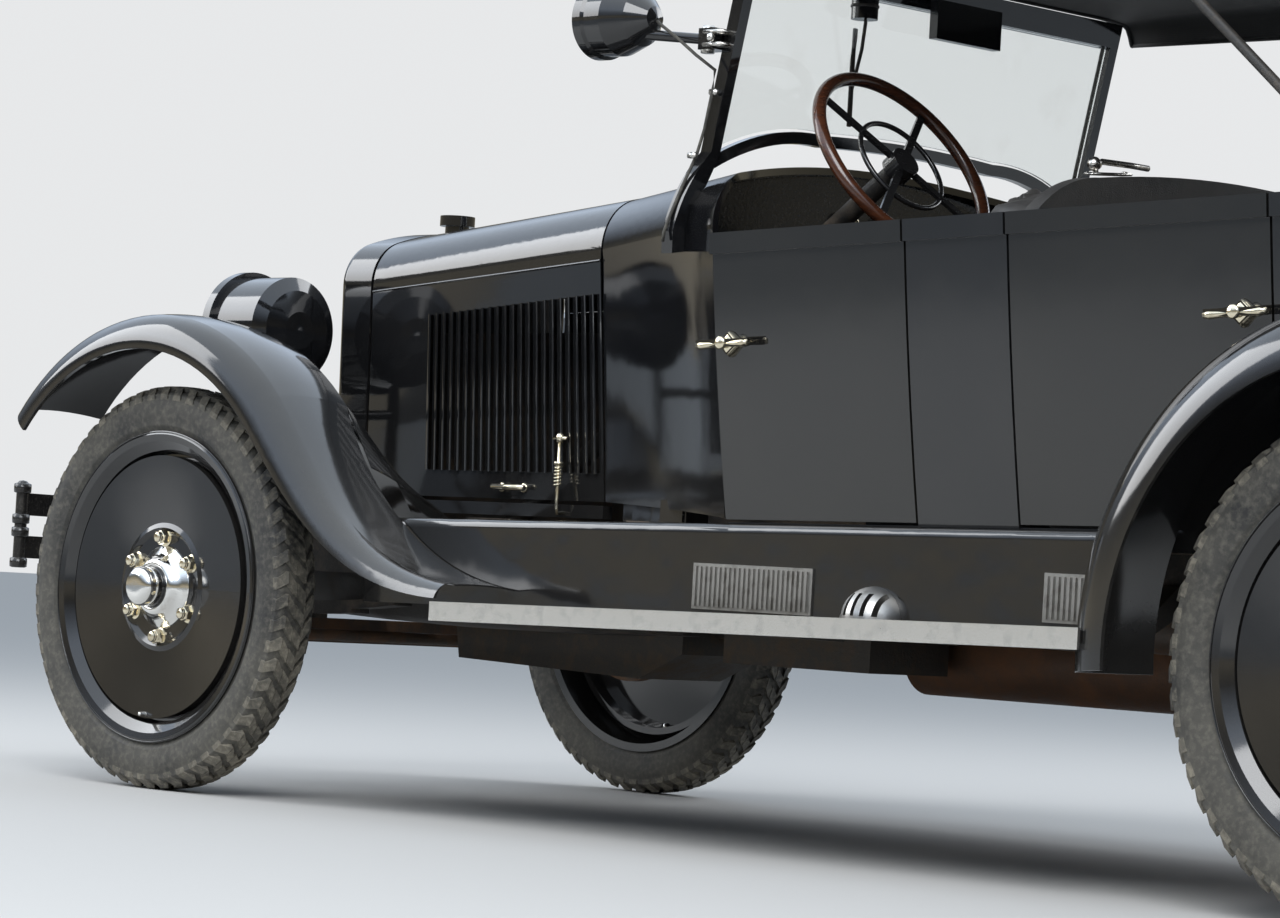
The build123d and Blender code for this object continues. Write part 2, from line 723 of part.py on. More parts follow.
def floor():
    """Floor boards on the rails, the toe board and the raised pan under the rear seat."""
    low, half = rail_top + seat_gap, floor_half - seat_gap
    step = -2572
    rails = rail_half_span + rail_width / 2
    main = block(step, cowl_rear - 1, -half, half, low, floor_height)
    main += block(cowl_rear - 1, -1000, -rails, rails, low, floor_height)
    toe = across(-315, 282, [toe_low, toe_high, (toe_high[0], 758), (-1001, low)])
    under_pan = ring_top + seat_gap
    raised = upward(under_pan, pan_height, [
        (step - 18, -half), (step - 18, half), (-3130, half), (-3205, 400), (-3205, -400),
        (-3130, -half)])
    riser = block(step - 18, step, -half, half, low, pan_height)
    return main + toe + raised + riser


# Fenders, boards and aprons

def fender_profile(edge_r, crown_r, thick):
    """A fender's section in front view as (y, radius), from the inner edge to the bead."""
    inner_r = crown_r - 12
    return [
        (inner_half_width, inner_r),
        (((inner_half_width + crown_half_width) / 2, crown_r + 4), (crown_half_width, crown_r)),
        ((edge_half_width - 11, edge_r + 46), (edge_half_width, edge_r)),
        (edge_half_width - 8, edge_r),
        ((edge_half_width - 11 - thick, edge_r + 44), (crown_half_width - 1, crown_r - thick)),
        (((inner_half_width + crown_half_width) / 2, crown_r + 4 - thick),
         (inner_half_width, inner_r - thick)),
    ]


def fender_arc(x, edge_r, crown_r, start, sweep_angle, thick=sheet):
    """The part of a fender round the wheel; angles run from the front, in degrees."""
    steps = fender_profile(edge_r, crown_r, thick)
    face = outline("x", 0, steps[0], steps[1:])
    turned_face = Rot(0, 90 - start, 0) * face
    return Pos(x, 0, axle_height) * revolve(turned_face, axis=Axis((0, 0, 0), (0, -1, 0)),
                                            revolution_arc=sweep_angle)


def front_fender():
    """Left front fender: crowned arc over the wheel and a tail that sweeps to the board."""
    arch = fender_arc(0, front_edge_radius, front_crown_radius, 40, 95)
    return arch + loft([tail_section(*station) for station in tail_stations()])


tail_inner = 629          # the tail's inner edge passes outside the apron
tail_down = 45.0
tail_run = 190.0
tail_radius = 660.0


def tail_stations():
    """Stations of the tail: x and z of the outer edge, slope, section height, inner edge."""
    a = radians(tail_down)
    x0 = -front_edge_radius * sin(a)
    z0 = axle_height + front_edge_radius * cos(a)
    full = front_crown_radius - front_edge_radius
    stations = [(x0, z0, tail_down, full, inner_half_width)]
    x1, z1 = x0 - tail_run * cos(a), z0 - tail_run * sin(a)
    for part in (0.0, 0.35, 0.7, 1.0):
        b = a * (1 - part)
        x = x1 - tail_radius * (sin(a) - sin(b))
        z = z1 - tail_radius * (cos(b) - cos(a))
        rise = full + (board_thickness + 6 - full) * (0.25 + 0.75 * part)
        stations.append((x, z, degrees(b), rise, tail_inner))
    return stations


def tail_section(x, z, down, rise, inner):
    """One thin crowned section across the tail at a point of its outer edge."""
    k = rise / (front_crown_radius - front_edge_radius)
    middle = (inner + crown_half_width) / 2
    face = outline("x", 0, (inner, rise - 12 * k), [
        ((middle, rise + 4 * k), (crown_half_width, rise)),
        ((edge_half_width - 11, 46 * k), (edge_half_width, 0)),
        (edge_half_width - 8, 0),
        ((edge_half_width - 11 - sheet, 46 * k - 2), (crown_half_width - 1, rise - sheet)),
        ((middle, rise + 4 * k - sheet), (inner, rise - 12 * k - sheet)),
    ])
    return Pos(x, 0, z) * Rot(0, -down, 0) * face


def inner_skirt():
    """Sheet that closes the space between the fender's inner edge and the frame."""
    r = front_crown_radius - 12
    foot_y, foot_z = rail_half_span + rail_width / 2 + seat_gap, sill(apron_front) - 6
    arch_end = -r * sin(radians(tail_down))
    faces = []
    # x of the section, then y and z where it meets the fender
    for x, y, z in ((-60, inner_half_width, axle_height + sqrt(r * r - 3600) - sheet),
                    (arch_end / 2, inner_half_width, axle_height + sqrt(r * r - arch_end ** 2 / 4) - sheet),
                    (arch_end, inner_half_width, axle_height + r * cos(radians(tail_down)) - sheet),
                    (apron_front + 4, tail_inner - 8, 676)):
        y -= seat_gap
        faces.append(outline("x", x, (y, z), [
            ((foot_y + 0.42 * (y - foot_y), foot_z + 0.5 * (z - foot_z)), (foot_y, foot_z)),
            (foot_y, foot_z + sheet + 1),
            ((foot_y + 0.42 * (y - foot_y) - 1, foot_z + 0.5 * (z - foot_z) + sheet + 1),
             (y, z + sheet)),
        ]))
    return loft(faces, ruled=True)


def front_fenders():
    return whole(both(front_fender()), both(inner_skirt()))


def rear_fenders():
    """Crowned rear fenders, open on the inside, where the tub closes the wheel arch."""
    arch = fender_arc(-wheelbase, rear_edge_radius, rear_crown_radius, -4, 174)
    return whole(both(arch))


def wheel_house(x, edge_r, crown_r, y0=0.0):
    """The space that a fender covers, grown by the seat gap, for trimming its neighbours."""
    steps = fender_profile(edge_r + seat_gap, crown_r + seat_gap, sheet)
    far = edge_half_width + seat_gap
    face = outline("x", 0, (y0, 1), [(y0, steps[0][1]), steps[0], steps[1],
                                     ((far - 11, edge_r + 47), (far, edge_r)), (far, 1)])
    return Pos(x, 0, axle_height) * revolve(face, axis=Axis.Y)


def running_boards():
    """Two boards, tilted with the body's rake."""
    x0, x1 = board_front, board_rear
    board = across(board_inner, board_outer, [
        (x0, board_top(x0)), (x1, board_top(x1)), (x1, board_top(x1) - board_thickness),
        (x0, board_top(x0) - board_thickness)])
    return whole(both(board - wheel_house(-wheelbase, rear_edge_radius, rear_crown_radius)))


def board_trim():
    """Bright pieces of the boards: edge mouldings, ribbed kick plates and step lamps."""
    x0, x1 = board_front + 2, board_rear - 2
    y = board_outer + seat_gap
    pieces = both(across(y, y + 6, [
        (x0, board_top(x0) + 4), (x1, board_top(x1) + 4), (x1, board_top(x1) - 32),
        (x0, board_top(x0) - 32)]))
    face = board_inner + 12 + seat_gap
    for plate_front, plate_rear in ((-1415, -1712), (-2245, -2400)):
        z0 = board_top(plate_front) + 12
        plate = block(plate_rear, plate_front, face, face + 4, z0, z0 + 84)
        ribs = int((plate_front - plate_rear) / 12)
        for index in range(ribs):
            x = plate_front - 8 - index * 12
            plate += block(x - 3, x + 3, face + 2, face + 8, z0 + 6, z0 + 78)
        pieces += both(plate)
    dome = Pos(-1862, face, board_top(-1862) + 1.6) * (Sphere(62) & block(-80, 80, 0, 80, 0, 80))
    for index in range(5):
        x = -1862 + (index - 2) * 20
        dome -= block(x - 4, x + 4, face + 12, face + 80, board_top(-1862) + 10, board_top(-1862) + 50)
    pieces += both(dome)
    return whole(pieces)


apron_front = -500


def splash_aprons():
    """Sheets between the sills and the boards, rolled over at the top."""
    faces = []
    inner, outer = sill_half_width + 2, board_inner + 12
    for x in (-2500, apron_front):
        top = sill(x) - 6
        low = board_top(x) + seat_gap
        faces.append(outline("x", x, (inner, top - sheet), [
            (inner, top), (outer - 18, top), ((outer - 5, top - 5), (outer, top - 18)),
            (outer, low), (outer - sheet, low), (outer - sheet, top - 18),
            ((outer - 7, top - 7), (outer - 18, top - sheet)),
        ]))
    sheet_left = loft(faces, ruled=True) - wheel_house(-wheelbase, rear_edge_radius, rear_crown_radius)
    ledge = []
    for x in (cowl_rear, apron_front):
        top, inner = sill(x) - 6, rail_half_span + rail_width / 2 + seat_gap
        ledge.append(outline("x", x, (inner, top), [
            (outer - 20, top), (outer - 20, top - sheet), (inner, top - sheet)]))
    return whole(both(sheet_left + loft(ledge, ruled=True)))


# Lamps, windshield and cabin

lamp_x, lamp_y, lamp_z, lamp_radius = 5, 425, 968, 112


def lamp_body(x, y, z, radius, length, rim):
    """A drum lamp that faces forwards: domed back, drum, rolled front rim and reflector."""
    front = x + length
    outer = [
        (x - 26, 0), (x - 24, radius * 0.35), (x - 14, radius * 0.75), (x, radius),
        (front, radius), (front, radius + rim), (front + 22, radius + rim),
        (front + 26, radius + rim - 5), (front + 26, radius - 4), (front + 6, radius - 4),
        (front - 30, radius * 0.8), (front - 70, radius * 0.5), (front - 88, 0),
    ]
    spun = revolve(make_face(Polyline(*[(a, b, 0) for a, b in outer], close=True)), axis=Axis.X)
    return Pos(0, y, z) * spun


def lens(x, y, z, radius):
    """A slightly domed lens disc."""
    dome = [(x, 0), (x, radius), (x + 6, radius), (x + 10, radius * 0.7), (x + 13, radius * 0.35),
            (x + 14, 0)]
    spun = revolve(make_face(Polyline(*[(a, b, 0) for a, b in dome], close=True)), axis=Axis.X)
    return Pos(0, y, z) * spun


def headlamps():
    """Two drum lamps on posts from the frame, joined by a bar."""
    x = lamp_x + 70
    pieces = []
    for side in (-1, 1):
        y = side * lamp_y
        lamp = lamp_body(lamp_x, y, lamp_z, lamp_radius, 130, 12)
        post = rod((x, y, 590), (x, y, lamp_z - lamp_radius + 20), 14)
        inner, outer = side * (rail_half_span - 16), side * (lamp_y + 20)
        foot = block(x - 20, x + 20, min(inner, outer), max(inner, outer), rail_top + seat_gap, 604)
        pieces.append(lamp + (post + foot))
    bar = rod((x, -lamp_y, 800), (x, lamp_y, 800), 11)
    return (pieces[0] + bar) + pieces[1]


def lamp_lenses():
    """Lenses of the headlamps and the spotlight."""
    pieces = []
    for side in (-1, 1):
        pieces.append(lens(lamp_x + 130 + 7, side * lamp_y, lamp_z, lamp_radius - 4 - seat_gap))
    pieces.append(lens(spot_x + 57, spot_y, spot_z, spot_radius - 4 - seat_gap))
    return whole(pieces)


post_low = (-1262, 1085)     # x and height of the windshield's plane at its feet
post_high = (-1392, 1690)
header_top = 1670
header_low = 1622
post_half_span = 535
post_width = 24


def screen_x(z):
    """The windshield's plane leans back: x at a height."""
    part = (z - post_low[1]) / (post_high[1] - post_low[1])
    return post_low[0] + part * (post_high[0] - post_low[0])


def screen_slab(front, rear):
    """Everything between two planes parallel to the windshield."""
    return across(-900, 900, [
        (screen_x(900) + front, 900), (screen_x(1800) + front, 1800),
        (screen_x(1800) + rear, 1800), (screen_x(900) + rear, 900)])


def windshield_frame():
    """Posts on the cowl, header bar and the arched bottom bar, with the small fittings."""
    inner, outer = post_half_span - post_width / 2, post_half_span + post_width / 2
    cowl_skin = loft(cowl_faces(-seat_gap, cowl_front, cowl_rear, 0))
    post = along(-1500, -1100, [
        (560, 1102), (594, 1096), (604, 1136), ((592, 1205), (outer, 1290)), (outer, header_top),
        (inner, header_top), (inner, 1290), ((540, 1232), (560, 1180))])
    post = (post & screen_slab(14, -14)) - cowl_skin
    header = along(-1500, -1100, [
        (-inner, header_low), (inner, header_low), (inner, header_top), (-inner, header_top)])
    header = header & screen_slab(16, -16)
    bottom = along(-1500, -1100, [
        (-inner - 1, 1262), ((-400, 1316), (-250, 1332)), ((0, 1340), (250, 1332)),
        ((400, 1316), (inner + 1, 1262)), (inner + 1, 1290), ((400, 1340), (250, 1354)),
        ((0, 1362), (-250, 1354)), ((-400, 1340), (-inner - 1, 1290))])
    bottom = bottom & screen_slab(9, -9)
    body = post + mirror(post, about=Plane.XZ) + header + bottom
    mirror_x = screen_x(1600) - 60
    body += block(mirror_x - 10, mirror_x + 10, -120, 70, 1560, header_low + 14)
    body += block(mirror_x - 10, screen_x(header_low), -40, -10, header_low, header_low + 14)
    body += rod((mirror_x + 26, 240, header_low + 2), (mirror_x + 26, 240, 1575), 26)
    return body


def window_glass():
    """Windshield pane between the posts."""
    edge = post_half_span - post_width / 2 - seat_gap
    top = header_low - seat_gap
    pane = along(-1500, -1100, [
        (-edge, 1303), ((-400, 1347), (-250, 1360)), ((0, 1368), (250, 1360)),
        ((400, 1347), (edge, 1303)), (edge, top), (-edge, top)])
    return whole(pane & screen_slab(3, -3))


wheel_hub = (-1573, 295, 1286)
column_angle = 35.0
column_radius = 19
steering_radius = 213
quadrant_radius = 98
hub_drop = 22


def column_point(distance):
    """A point on the steering column's axis, measured down from the wheel's hub."""
    a = radians(column_angle)
    return (wheel_hub[0] + distance * cos(a), wheel_hub[1], wheel_hub[2] - distance * sin(a))


def ring(radius, thick):
    """A round bar bent into a ring about the upright axis."""
    return revolve(Plane.XZ * (Pos(radius, 0) * Circle(thick)), axis=Axis.Z)


def steering_wheel():
    """Wooden rim with four spokes and a hub, square to the column."""
    axis = Vector(*column_point(-1)) - Vector(*column_point(0))
    plane = Plane(origin=wheel_hub, x_dir=(0, 1, 0), z_dir=axis.normalized())
    rim = ring(steering_radius - 13, 13)
    hub = extrude(Pos(0, 0, -hub_drop) * Circle(30), amount=hub_drop + 12)
    wheel = rim + hub
    length = steering_radius - 41
    for index in range(4):
        spoke = Pos(length / 2 + 22, 0, -1) * Box(length, 15, 7)
        wheel += Rot(0, 0, 45 + 90 * index) * spoke
    wheel += Pos(0, 0, -3) * ring(quadrant_radius, 5)
    return plane.location * wheel


def steering_column():
    """Column tube and the steering box on the frame's left rail."""
    face = rail_half_span - rail_width / 2 - seat_gap
    body = rod(column_point(hub_drop + seat_gap), column_point(1258), column_radius)
    low = column_point(1258)
    return body + block(low[0] - 80, low[0] + 50, face - 68, face, low[2] - 75, low[2] + 28)


def front_seat_frame():
    """Box under the front seat and the curved back board that carries the robe rail."""
    base = block(-2120, -1690, -470, 470, floor_height + seat_gap, 800)
    board = along(-2150, -2120, [
        (-590 + 20, 680), (590 - 20, 680), (612, 1128), ((560, 1180), (420, 1232)),
        ((0, 1262), (-420, 1232)), ((-560, 1180), (-612, 1128))])
    return base + board


def front_seat_cushions():
    """Plain cushion and back of the front seat."""
    seat = fillet(block(-2095, -1660, -540, 540, 800 + seat_gap, 960).edges().filter_by(Axis.Y), 36)
    back = along(-2119, -2010, [
        (-560, 960 + seat_gap), (560, 960 + seat_gap), (585, 1128), ((530, 1186), (400, 1236)),
        ((0, 1268), (-400, 1236)), ((-530, 1186), (-585, 1128))])
    return whole(seat, back)


def rear_seat_cushions():
    """Plain cushion and back of the rear seat."""
    seat = fillet(block(-3080, -2640, -520, 520, pan_height + seat_gap, 900).edges().filter_by(Axis.Y), 36)
    back = along(-3225, -3080 - seat_gap, [
        (-380, 720), (380, 720), (440, 1120), ((410, 1180), (320, 1215)),
        ((0, 1235), (-320, 1215)), ((-410, 1180), (-440, 1120))])
    return whole(seat, back)


def cabin_fittings():
    """Robe rail behind the front seat, pedals, gear lever and hand brake."""
    rail = rod((-2196, -330, 1165), (-2196, 330, 1165), 9)
    for y in (-330, 330):
        rail += rod((-2150 - seat_gap, y, 1165), (-2196, y, 1165), 11)
    foot = floor_height + seat_gap
    gear = rod((-1300, 0, foot), (-1300, 0, foot + 14), 30)
    gear += rod((-1300, 0, foot + 8), (-1480, 0, 980), 9) + Pos(-1480, 0, 985) * Sphere(22)
    brake = block(-1262, -1218, -84, -56, foot, foot + 16)
    brake += rod((-1240, -70, foot + 8), (-1420, -70, 930), 9)
    run = Vector(toe_high[0] - toe_low[0], 0, toe_high[1] - toe_low[1]).normalized()
    normal = Vector(-run.Z, 0, run.X)
    pedals = []
    for y in (120, 240):
        base = Vector(toe_low[0], y, toe_low[1]) + run * 60 + normal * seat_gap
        head = base + normal * 130
        pedal = rod(tuple(base), tuple(head), 8)
        pad = Plane(origin=head, x_dir=(0, 1, 0), z_dir=normal)
        pedals.append(pedal + extrude(pad * Rectangle(62, 84), amount=12))
    return whole(rail, gear, brake, pedals)


spot_x, spot_y, spot_z, spot_radius = -1120, 600, 1540, 68


def spotlight():
    """Bullet lamp on the left windshield post with its bracket."""
    shape = [
        (spot_x - 92, 0), (spot_x - 84, 22), (spot_x - 50, 52), (spot_x, spot_radius),
        (spot_x + 40, spot_radius), (spot_x + 46, spot_radius + 5), (spot_x + 66, spot_radius + 5),
        (spot_x + 68, spot_radius - 4), (spot_x + 54, spot_radius - 4), (spot_x + 46, spot_radius - 8),
        (spot_x, spot_radius - 8), (spot_x - 50, 42), (spot_x - 78, 0),
    ]
    shell = revolve(make_face(Polyline(*[(a, b, 0) for a, b in shape], close=True)), axis=Axis.X)
    body = Pos(0, spot_y, spot_z) * shell
    arm_x = screen_x(1480) + 14 + seat_gap
    body += rod((spot_x - 60, spot_y, spot_z - 30), (arm_x + 26, post_half_span + 20, 1500), 10)
    body += block(arm_x, arm_x + 40, post_half_span - 10, post_half_span + 36, 1480, 1520)
    return body


# Folding top

top_front = -1365
valance = 1640
top_rear = -3080
top_half = 622
top_thick = 8
roof_front, roof_crest, roof_back = 1684, 1788, 1748     # heights of the roof line
crest_x = -2150
roof_crown = 1790
roof_edge = 1694           # height where the crown meets the round of the side


def canopy_section(step, x0):
    """Front view of the top, inset by step, from x0 to the back."""
    foot, head = belt_half_width - 14 - step, top_half - step
    return along(-3500, x0, [
        (-foot, 1090), (foot, 1090), (head, 1634),
        ((head - 13, 1675 - step), (head - 50, roof_edge - step)),
        ((0, roof_crown - step), (-head + 50, roof_edge - step)),
        ((-head + 13, 1675 - step), (-head, 1634))])


def canopy_side(step):
    """Side view of the top, inset by step: roof line, rounded back and back curtain."""
    back = top_rear - 292
    front = top_front + (10 if step else 0)
    return across(-800, 800, [
        (front, roof_front - 2 * step), ((crest_x, roof_crest - step), (top_rear, roof_back - step)),
        ((top_rear - 112 + step * 0.7, 1692 - step * 0.7), (top_rear - 150 + step, 1600)),
        (back + step, belt(back) + 20), (back + step, 1095), (front, 1095)])


def canopy():
    """Fabric top: a crowned roof, a short valance on each side and a back curtain."""
    back = top_rear - 292
    half = belt_half_width - 14

    def plan(step, x0):
        return upward(1080, 1900, tub_points(half - step, back + step, tub_corner - 20 - step, x0))
    outer = canopy_side(0) & canopy_section(0, top_front) & plan(0, top_front)
    hollow = canopy_side(top_thick) & canopy_section(top_thick, top_front + 10)
    hollow = hollow & plan(top_thick, top_front + 10)
    opening = across(-900, 900, [
        (top_front + 20, valance), (-2780, valance - 12), (-2980, 1190), (-2980, 1000),
        (top_front + 20, 1000)])
    window = along(-3500, -3200, [(-190, 1390), (190, 1390), (190, 1510), (-190, 1510)])
    return outer - hollow - opening - window - under(belt, seat_gap)


def arc_height(a, b, c, x):
    """Height at x of the upright arc through three points."""
    (x1, z1), (x2, z2), (x3, z3) = a, b, c
    d = 2 * (x1 * (z2 - z3) + x2 * (z3 - z1) + x3 * (z1 - z2))
    s1, s2, s3 = x1 * x1 + z1 * z1, x2 * x2 + z2 * z2, x3 * x3 + z3 * z3
    cx = (s1 * (z2 - z3) + s2 * (z3 - z1) + s3 * (z1 - z2)) / d
    cz = (s1 * (x3 - x2) + s2 * (x1 - x3) + s3 * (x2 - x1)) / d
    return cz + sqrt((x2 - cx) ** 2 + (z2 - cz) ** 2 - (x - cx) ** 2)


def top_bows():
    """Two bows under the top, whose feet turn on irons that stand on the body."""
    pieces = []
    half, foot_half = top_half - top_thick - 12, belt_half_width - 16
    # x of the bow, and x and height of its foot
    for head_x, foot_x, foot_z in ((-2300, -2830, 1192), (-2940, -2870, 1206)):
        roof = arc_height((top_front, roof_front), (crest_x, roof_crest), (top_rear, roof_back), head_x)
        top = min(roof, roof_crown) - top_thick - 3
        bow = along(head_x - 15, head_x + 15, [
            (-half, 1652), ((0, top), (half, 1652)), (half, 1638), ((0, top - 13), (-half, 1638))])
        for side in (-1, 1):
            y = side * (half - 20)
            bow += rod((foot_x, y, foot_z), (head_x, y, 1649), 9)
            bow += rod((foot_x, y - side * 14, foot_z), (foot_x, side * (foot_half + 13), foot_z), 12)
            low = belt(foot_x - 8) + seat_gap
            bow += rod((foot_x, side * foot_half, foot_z), (foot_x, side * foot_half, low), 9)
        pieces.append(bow)
    return whole(pieces)


# Bumper, rear carrier

bumper_x = 548
bumper_half = 700


def bumper_bar(z, reach):
    """One spring steel bar, bowed forwards in the middle."""
    x, half = bumper_x, bumper_half
    return upward(z - 24, z + 24, [
        (x, -half), ((x + reach, 0), (x, half)), (x - 8, half), ((x + reach - 8, 0), (x - 8, -half))])


def front_bumper():
    """Two bowed bars clasped by upright pins at the ends, on arms from the frame."""
    body = bumper_bar(572, front_reach - bumper_x) + bumper_bar(480, front_reach - bumper_x)
    for side in (-1, 1):
        y = side * bumper_half
        body += rod((bumper_x - 4, y, 440), (bumper_x - 4, y, 612), 13)
        y_arm = side * rail_half_span
        body += rod((bumper_x + 46, y_arm, 440), (bumper_x + 46, y_arm, 600), 12)
        body += block(rail_front + 30 + seat_gap, bumper_x + 46, y_arm - 10, y_arm + 10, 480, 520)
    return body


spare_height = 800
plate_y = 505
plate_holes = 200          # distance between the plate bracket's two holes


def rear_carrier():
    """Spare wheel carrier on the rear cross-member, with the tail lamp and a bare plate."""
    face = -rear_reach + cap_reach + hub_inner + seat_gap
    body = rod((face, 0, spare_height), (face + 16, 0, spare_height), 100)
    low = rail_rear + 40
    for side in (-1, 1):
        body += rod((face + 9, side * 60, spare_height - 40), (low, side * 230, 660), 14)
        body += rod((low, side * 230, 670), (low, side * 230, 630 + seat_gap), 14)
    body += rod((low, 230, 655), (low - 130, 500, 655), 9)
    body += rod((low - 108, 500, 655), (low - 164, 500, 655), 38)
    plate = block(low - 145, low - 141, plate_y - 125, plate_y + 125, 480, 600)
    for side in (-1, 1):
        y = plate_y + side * plate_holes / 2
        plate -= rod((low - 150, y, 540), (low - 136, y, 540), 3.5)
    return body + plate + block(low - 145, low - 133, plate_y - 20, plate_y + 20, 590, 640)


def nodes():
    """Every piece of the car by name."""
    shell = side_wall()
    parts = {
        "frame_rail_left": frame_rail(), "frame_rail_right": mirror(frame_rail(), about=Plane.XZ),
        "cross_members": cross_members(), "springs": springs(), "front_axle": front_axle(),
        "rear_axle": rear_axle(), "powertrain": powertrain(), "exhaust": exhaust(),
        "fuel_tank": fuel_tank(), "radiator_shell": radiator_shell(),
        "radiator_core": radiator_core(), "hood_rail": hood_rail(), "cowl": cowl(),
        "dashboard": dashboard(), "tub": tub(shell), "floor": floor(),
        "front_fenders": front_fenders(), "rear_fenders": rear_fenders(),
        "running_boards": running_boards(), "board_trim": board_trim(),
        "splash_aprons": splash_aprons(), "headlamps": headlamps(),
        "lamp_lenses": lamp_lenses(), "windshield_frame": windshield_frame(),
        "window_glass": window_glass(), "steering_wheel": steering_wheel(),
        "steering_column": steering_column(), "front_seat_frame": front_seat_frame(),
        "front_seat_cushions": front_seat_cushions(), "rear_seat_cushions": rear_seat_cushions(),
        "cabin_fittings": cabin_fittings(), "spotlight": spotlight(), "canopy": canopy(),
        "top_bows": top_bows(), "front_bumper": front_bumper(), "rear_carrier": rear_carrier(),
        "knuckle_left": knuckle(), "knuckle_right": mirror(knuckle(), about=Plane.XZ),
        "tie_rod": tie_rod(),
    }
    parts.update(doors(shell))
    top = hood_top()
    parts["hood_top_left"], parts["hood_top_right"] = both(top)
    parts["hood_side_left"], parts["hood_side_right"] = hood_side(1), hood_side(-1)
    left_wheel, right_wheel = both(disc_wheel())
    for place, x in (("front", 0), ("rear", -wheelbase)):
        parts[f"wheel_{place}_left"] = Pos(x, track / 2, axle_height) * left_wheel
        parts[f"wheel_{place}_right"] = Pos(x, -track / 2, axle_height) * right_wheel
        parts[f"tyre_{place}_left"] = Pos(x, track / 2, axle_height) * tyre()
        parts[f"tyre_{place}_right"] = Pos(x, -track / 2, axle_height) * tyre()
    spare = Pos(-rear_reach + cap_reach, 0, spare_height) * Rot(0, 0, 90)
    parts["spare_wheel"] = spare * left_wheel
    parts["spare_tyre"] = spare * tyre()
    return parts


def placed(piece):
    """The piece moved so that the origin lies on the ground under the middle of the car."""
    moved = [Pos(front_axle_x, 0, 0) * one for one in piece.solids()]
    return moved[0] if len(moved) == 1 else Compound(children=moved)


os.makedirs("parts", exist_ok=True)
for name, piece in nodes().items():
    export_step(placed(piece), f"parts/{name}.step")
print("front axle at x =", front_axle_x)
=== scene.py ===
# %% [markdown]
# # Dressing a 1920s touring car
# The solids of the car come in packed, each already in its place, in metres.
# The origin is on the ground under the middle of the car, X points forwards, Y to the
# car's left and Z up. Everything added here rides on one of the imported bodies, so that
# doors, hood and wheels keep their trim when they move.

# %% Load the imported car
import bpy
import bmesh
from math import cos, pi, radians, sin, sqrt
from mathutils import Matrix, Vector, noise


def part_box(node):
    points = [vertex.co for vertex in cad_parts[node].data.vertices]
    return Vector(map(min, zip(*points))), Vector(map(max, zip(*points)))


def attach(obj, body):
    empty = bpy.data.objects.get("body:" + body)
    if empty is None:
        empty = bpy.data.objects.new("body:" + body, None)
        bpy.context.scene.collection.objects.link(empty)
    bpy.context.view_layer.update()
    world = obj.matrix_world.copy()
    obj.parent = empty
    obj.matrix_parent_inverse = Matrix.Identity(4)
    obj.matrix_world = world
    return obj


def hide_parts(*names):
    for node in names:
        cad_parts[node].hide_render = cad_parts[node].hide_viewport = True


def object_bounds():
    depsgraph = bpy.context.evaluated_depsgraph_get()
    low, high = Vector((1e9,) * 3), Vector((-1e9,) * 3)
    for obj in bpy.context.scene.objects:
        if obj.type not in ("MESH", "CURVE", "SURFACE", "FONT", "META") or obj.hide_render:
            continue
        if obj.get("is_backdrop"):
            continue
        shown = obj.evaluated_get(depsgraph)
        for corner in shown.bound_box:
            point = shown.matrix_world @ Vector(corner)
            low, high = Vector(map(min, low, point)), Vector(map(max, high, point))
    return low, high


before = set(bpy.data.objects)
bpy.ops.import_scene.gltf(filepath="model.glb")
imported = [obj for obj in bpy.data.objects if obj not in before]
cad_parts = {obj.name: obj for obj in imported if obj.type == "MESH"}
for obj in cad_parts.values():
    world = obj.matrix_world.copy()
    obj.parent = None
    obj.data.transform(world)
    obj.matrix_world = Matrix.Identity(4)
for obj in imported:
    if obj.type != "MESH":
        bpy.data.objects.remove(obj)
cad_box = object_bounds()

# %% [markdown]
# ## The camera
# The picture was taken with a long lens from behind the car's left side, low down, so
# the far wheels almost hide behind the near ones. A long lens is kept by a large focal
# length and a far camera, not by scaling the car. The measurements of the car are
# written from its front axle, which lies 1.558 m ahead of the origin.

# %% Camera
AXLE = 1.558


def at(x, y, z):
    """A point given from the front axle, in the shared frame."""
    return Vector((x + AXLE, y, z))


def aim_camera(place, yaw, pitch, roll, lens):
    """Place the camera by its heading, tilt and roll in degrees."""
    yaw, pitch, roll = radians(yaw), radians(pitch), radians(roll)
    ahead = Vector((sin(yaw) * cos(pitch), -cos(yaw) * cos(pitch), sin(pitch)))
    right = ahead.cross(Vector((0, 0, 1))).normalized()
    above = right.cross(ahead)
    x_axis = cos(roll) * right + sin(roll) * above
    y_axis = -sin(roll) * right + cos(roll) * above
    data = bpy.data.cameras.new("camera")
    data.lens, data.sensor_width, data.sensor_fit = lens, 36, "HORIZONTAL"
    data.clip_end = 200
    camera = bpy.data.objects.new("camera", data)
    turn = Matrix((x_axis, y_axis, -ahead)).transposed().to_4x4()
    camera.matrix_world = Matrix.Translation(place) @ turn
    bpy.context.scene.collection.objects.link(camera)
    bpy.context.scene.camera = camera
    return camera


camera = aim_camera(Vector((-5.2185, 6.1126, 0.4775)), 45.1675, 1.7019, 3.3012, 117.68)
print("camera at", tuple(round(v, 3) for v in camera.location), "lens", camera.data.lens)

# %% [markdown]
# ## Floor, sky and lamps
# Black enamel shows little colour of its own. What tells its shape is what it reflects,
# so the world has a bright upper half, a warm band of trees and walls at the horizon and
# a darker ground, like an open yard. The floor is plain and pale. Seen straight or
# through glass the world is a pale grey, gloss sees the full sky, and diffuse light a
# weaker one.

# %% Floor and world
def put(name, mesh):
    """A new object from a mesh, in the scene."""
    piece = bpy.data.objects.new(name, mesh)
    bpy.context.scene.collection.objects.link(piece)
    return piece


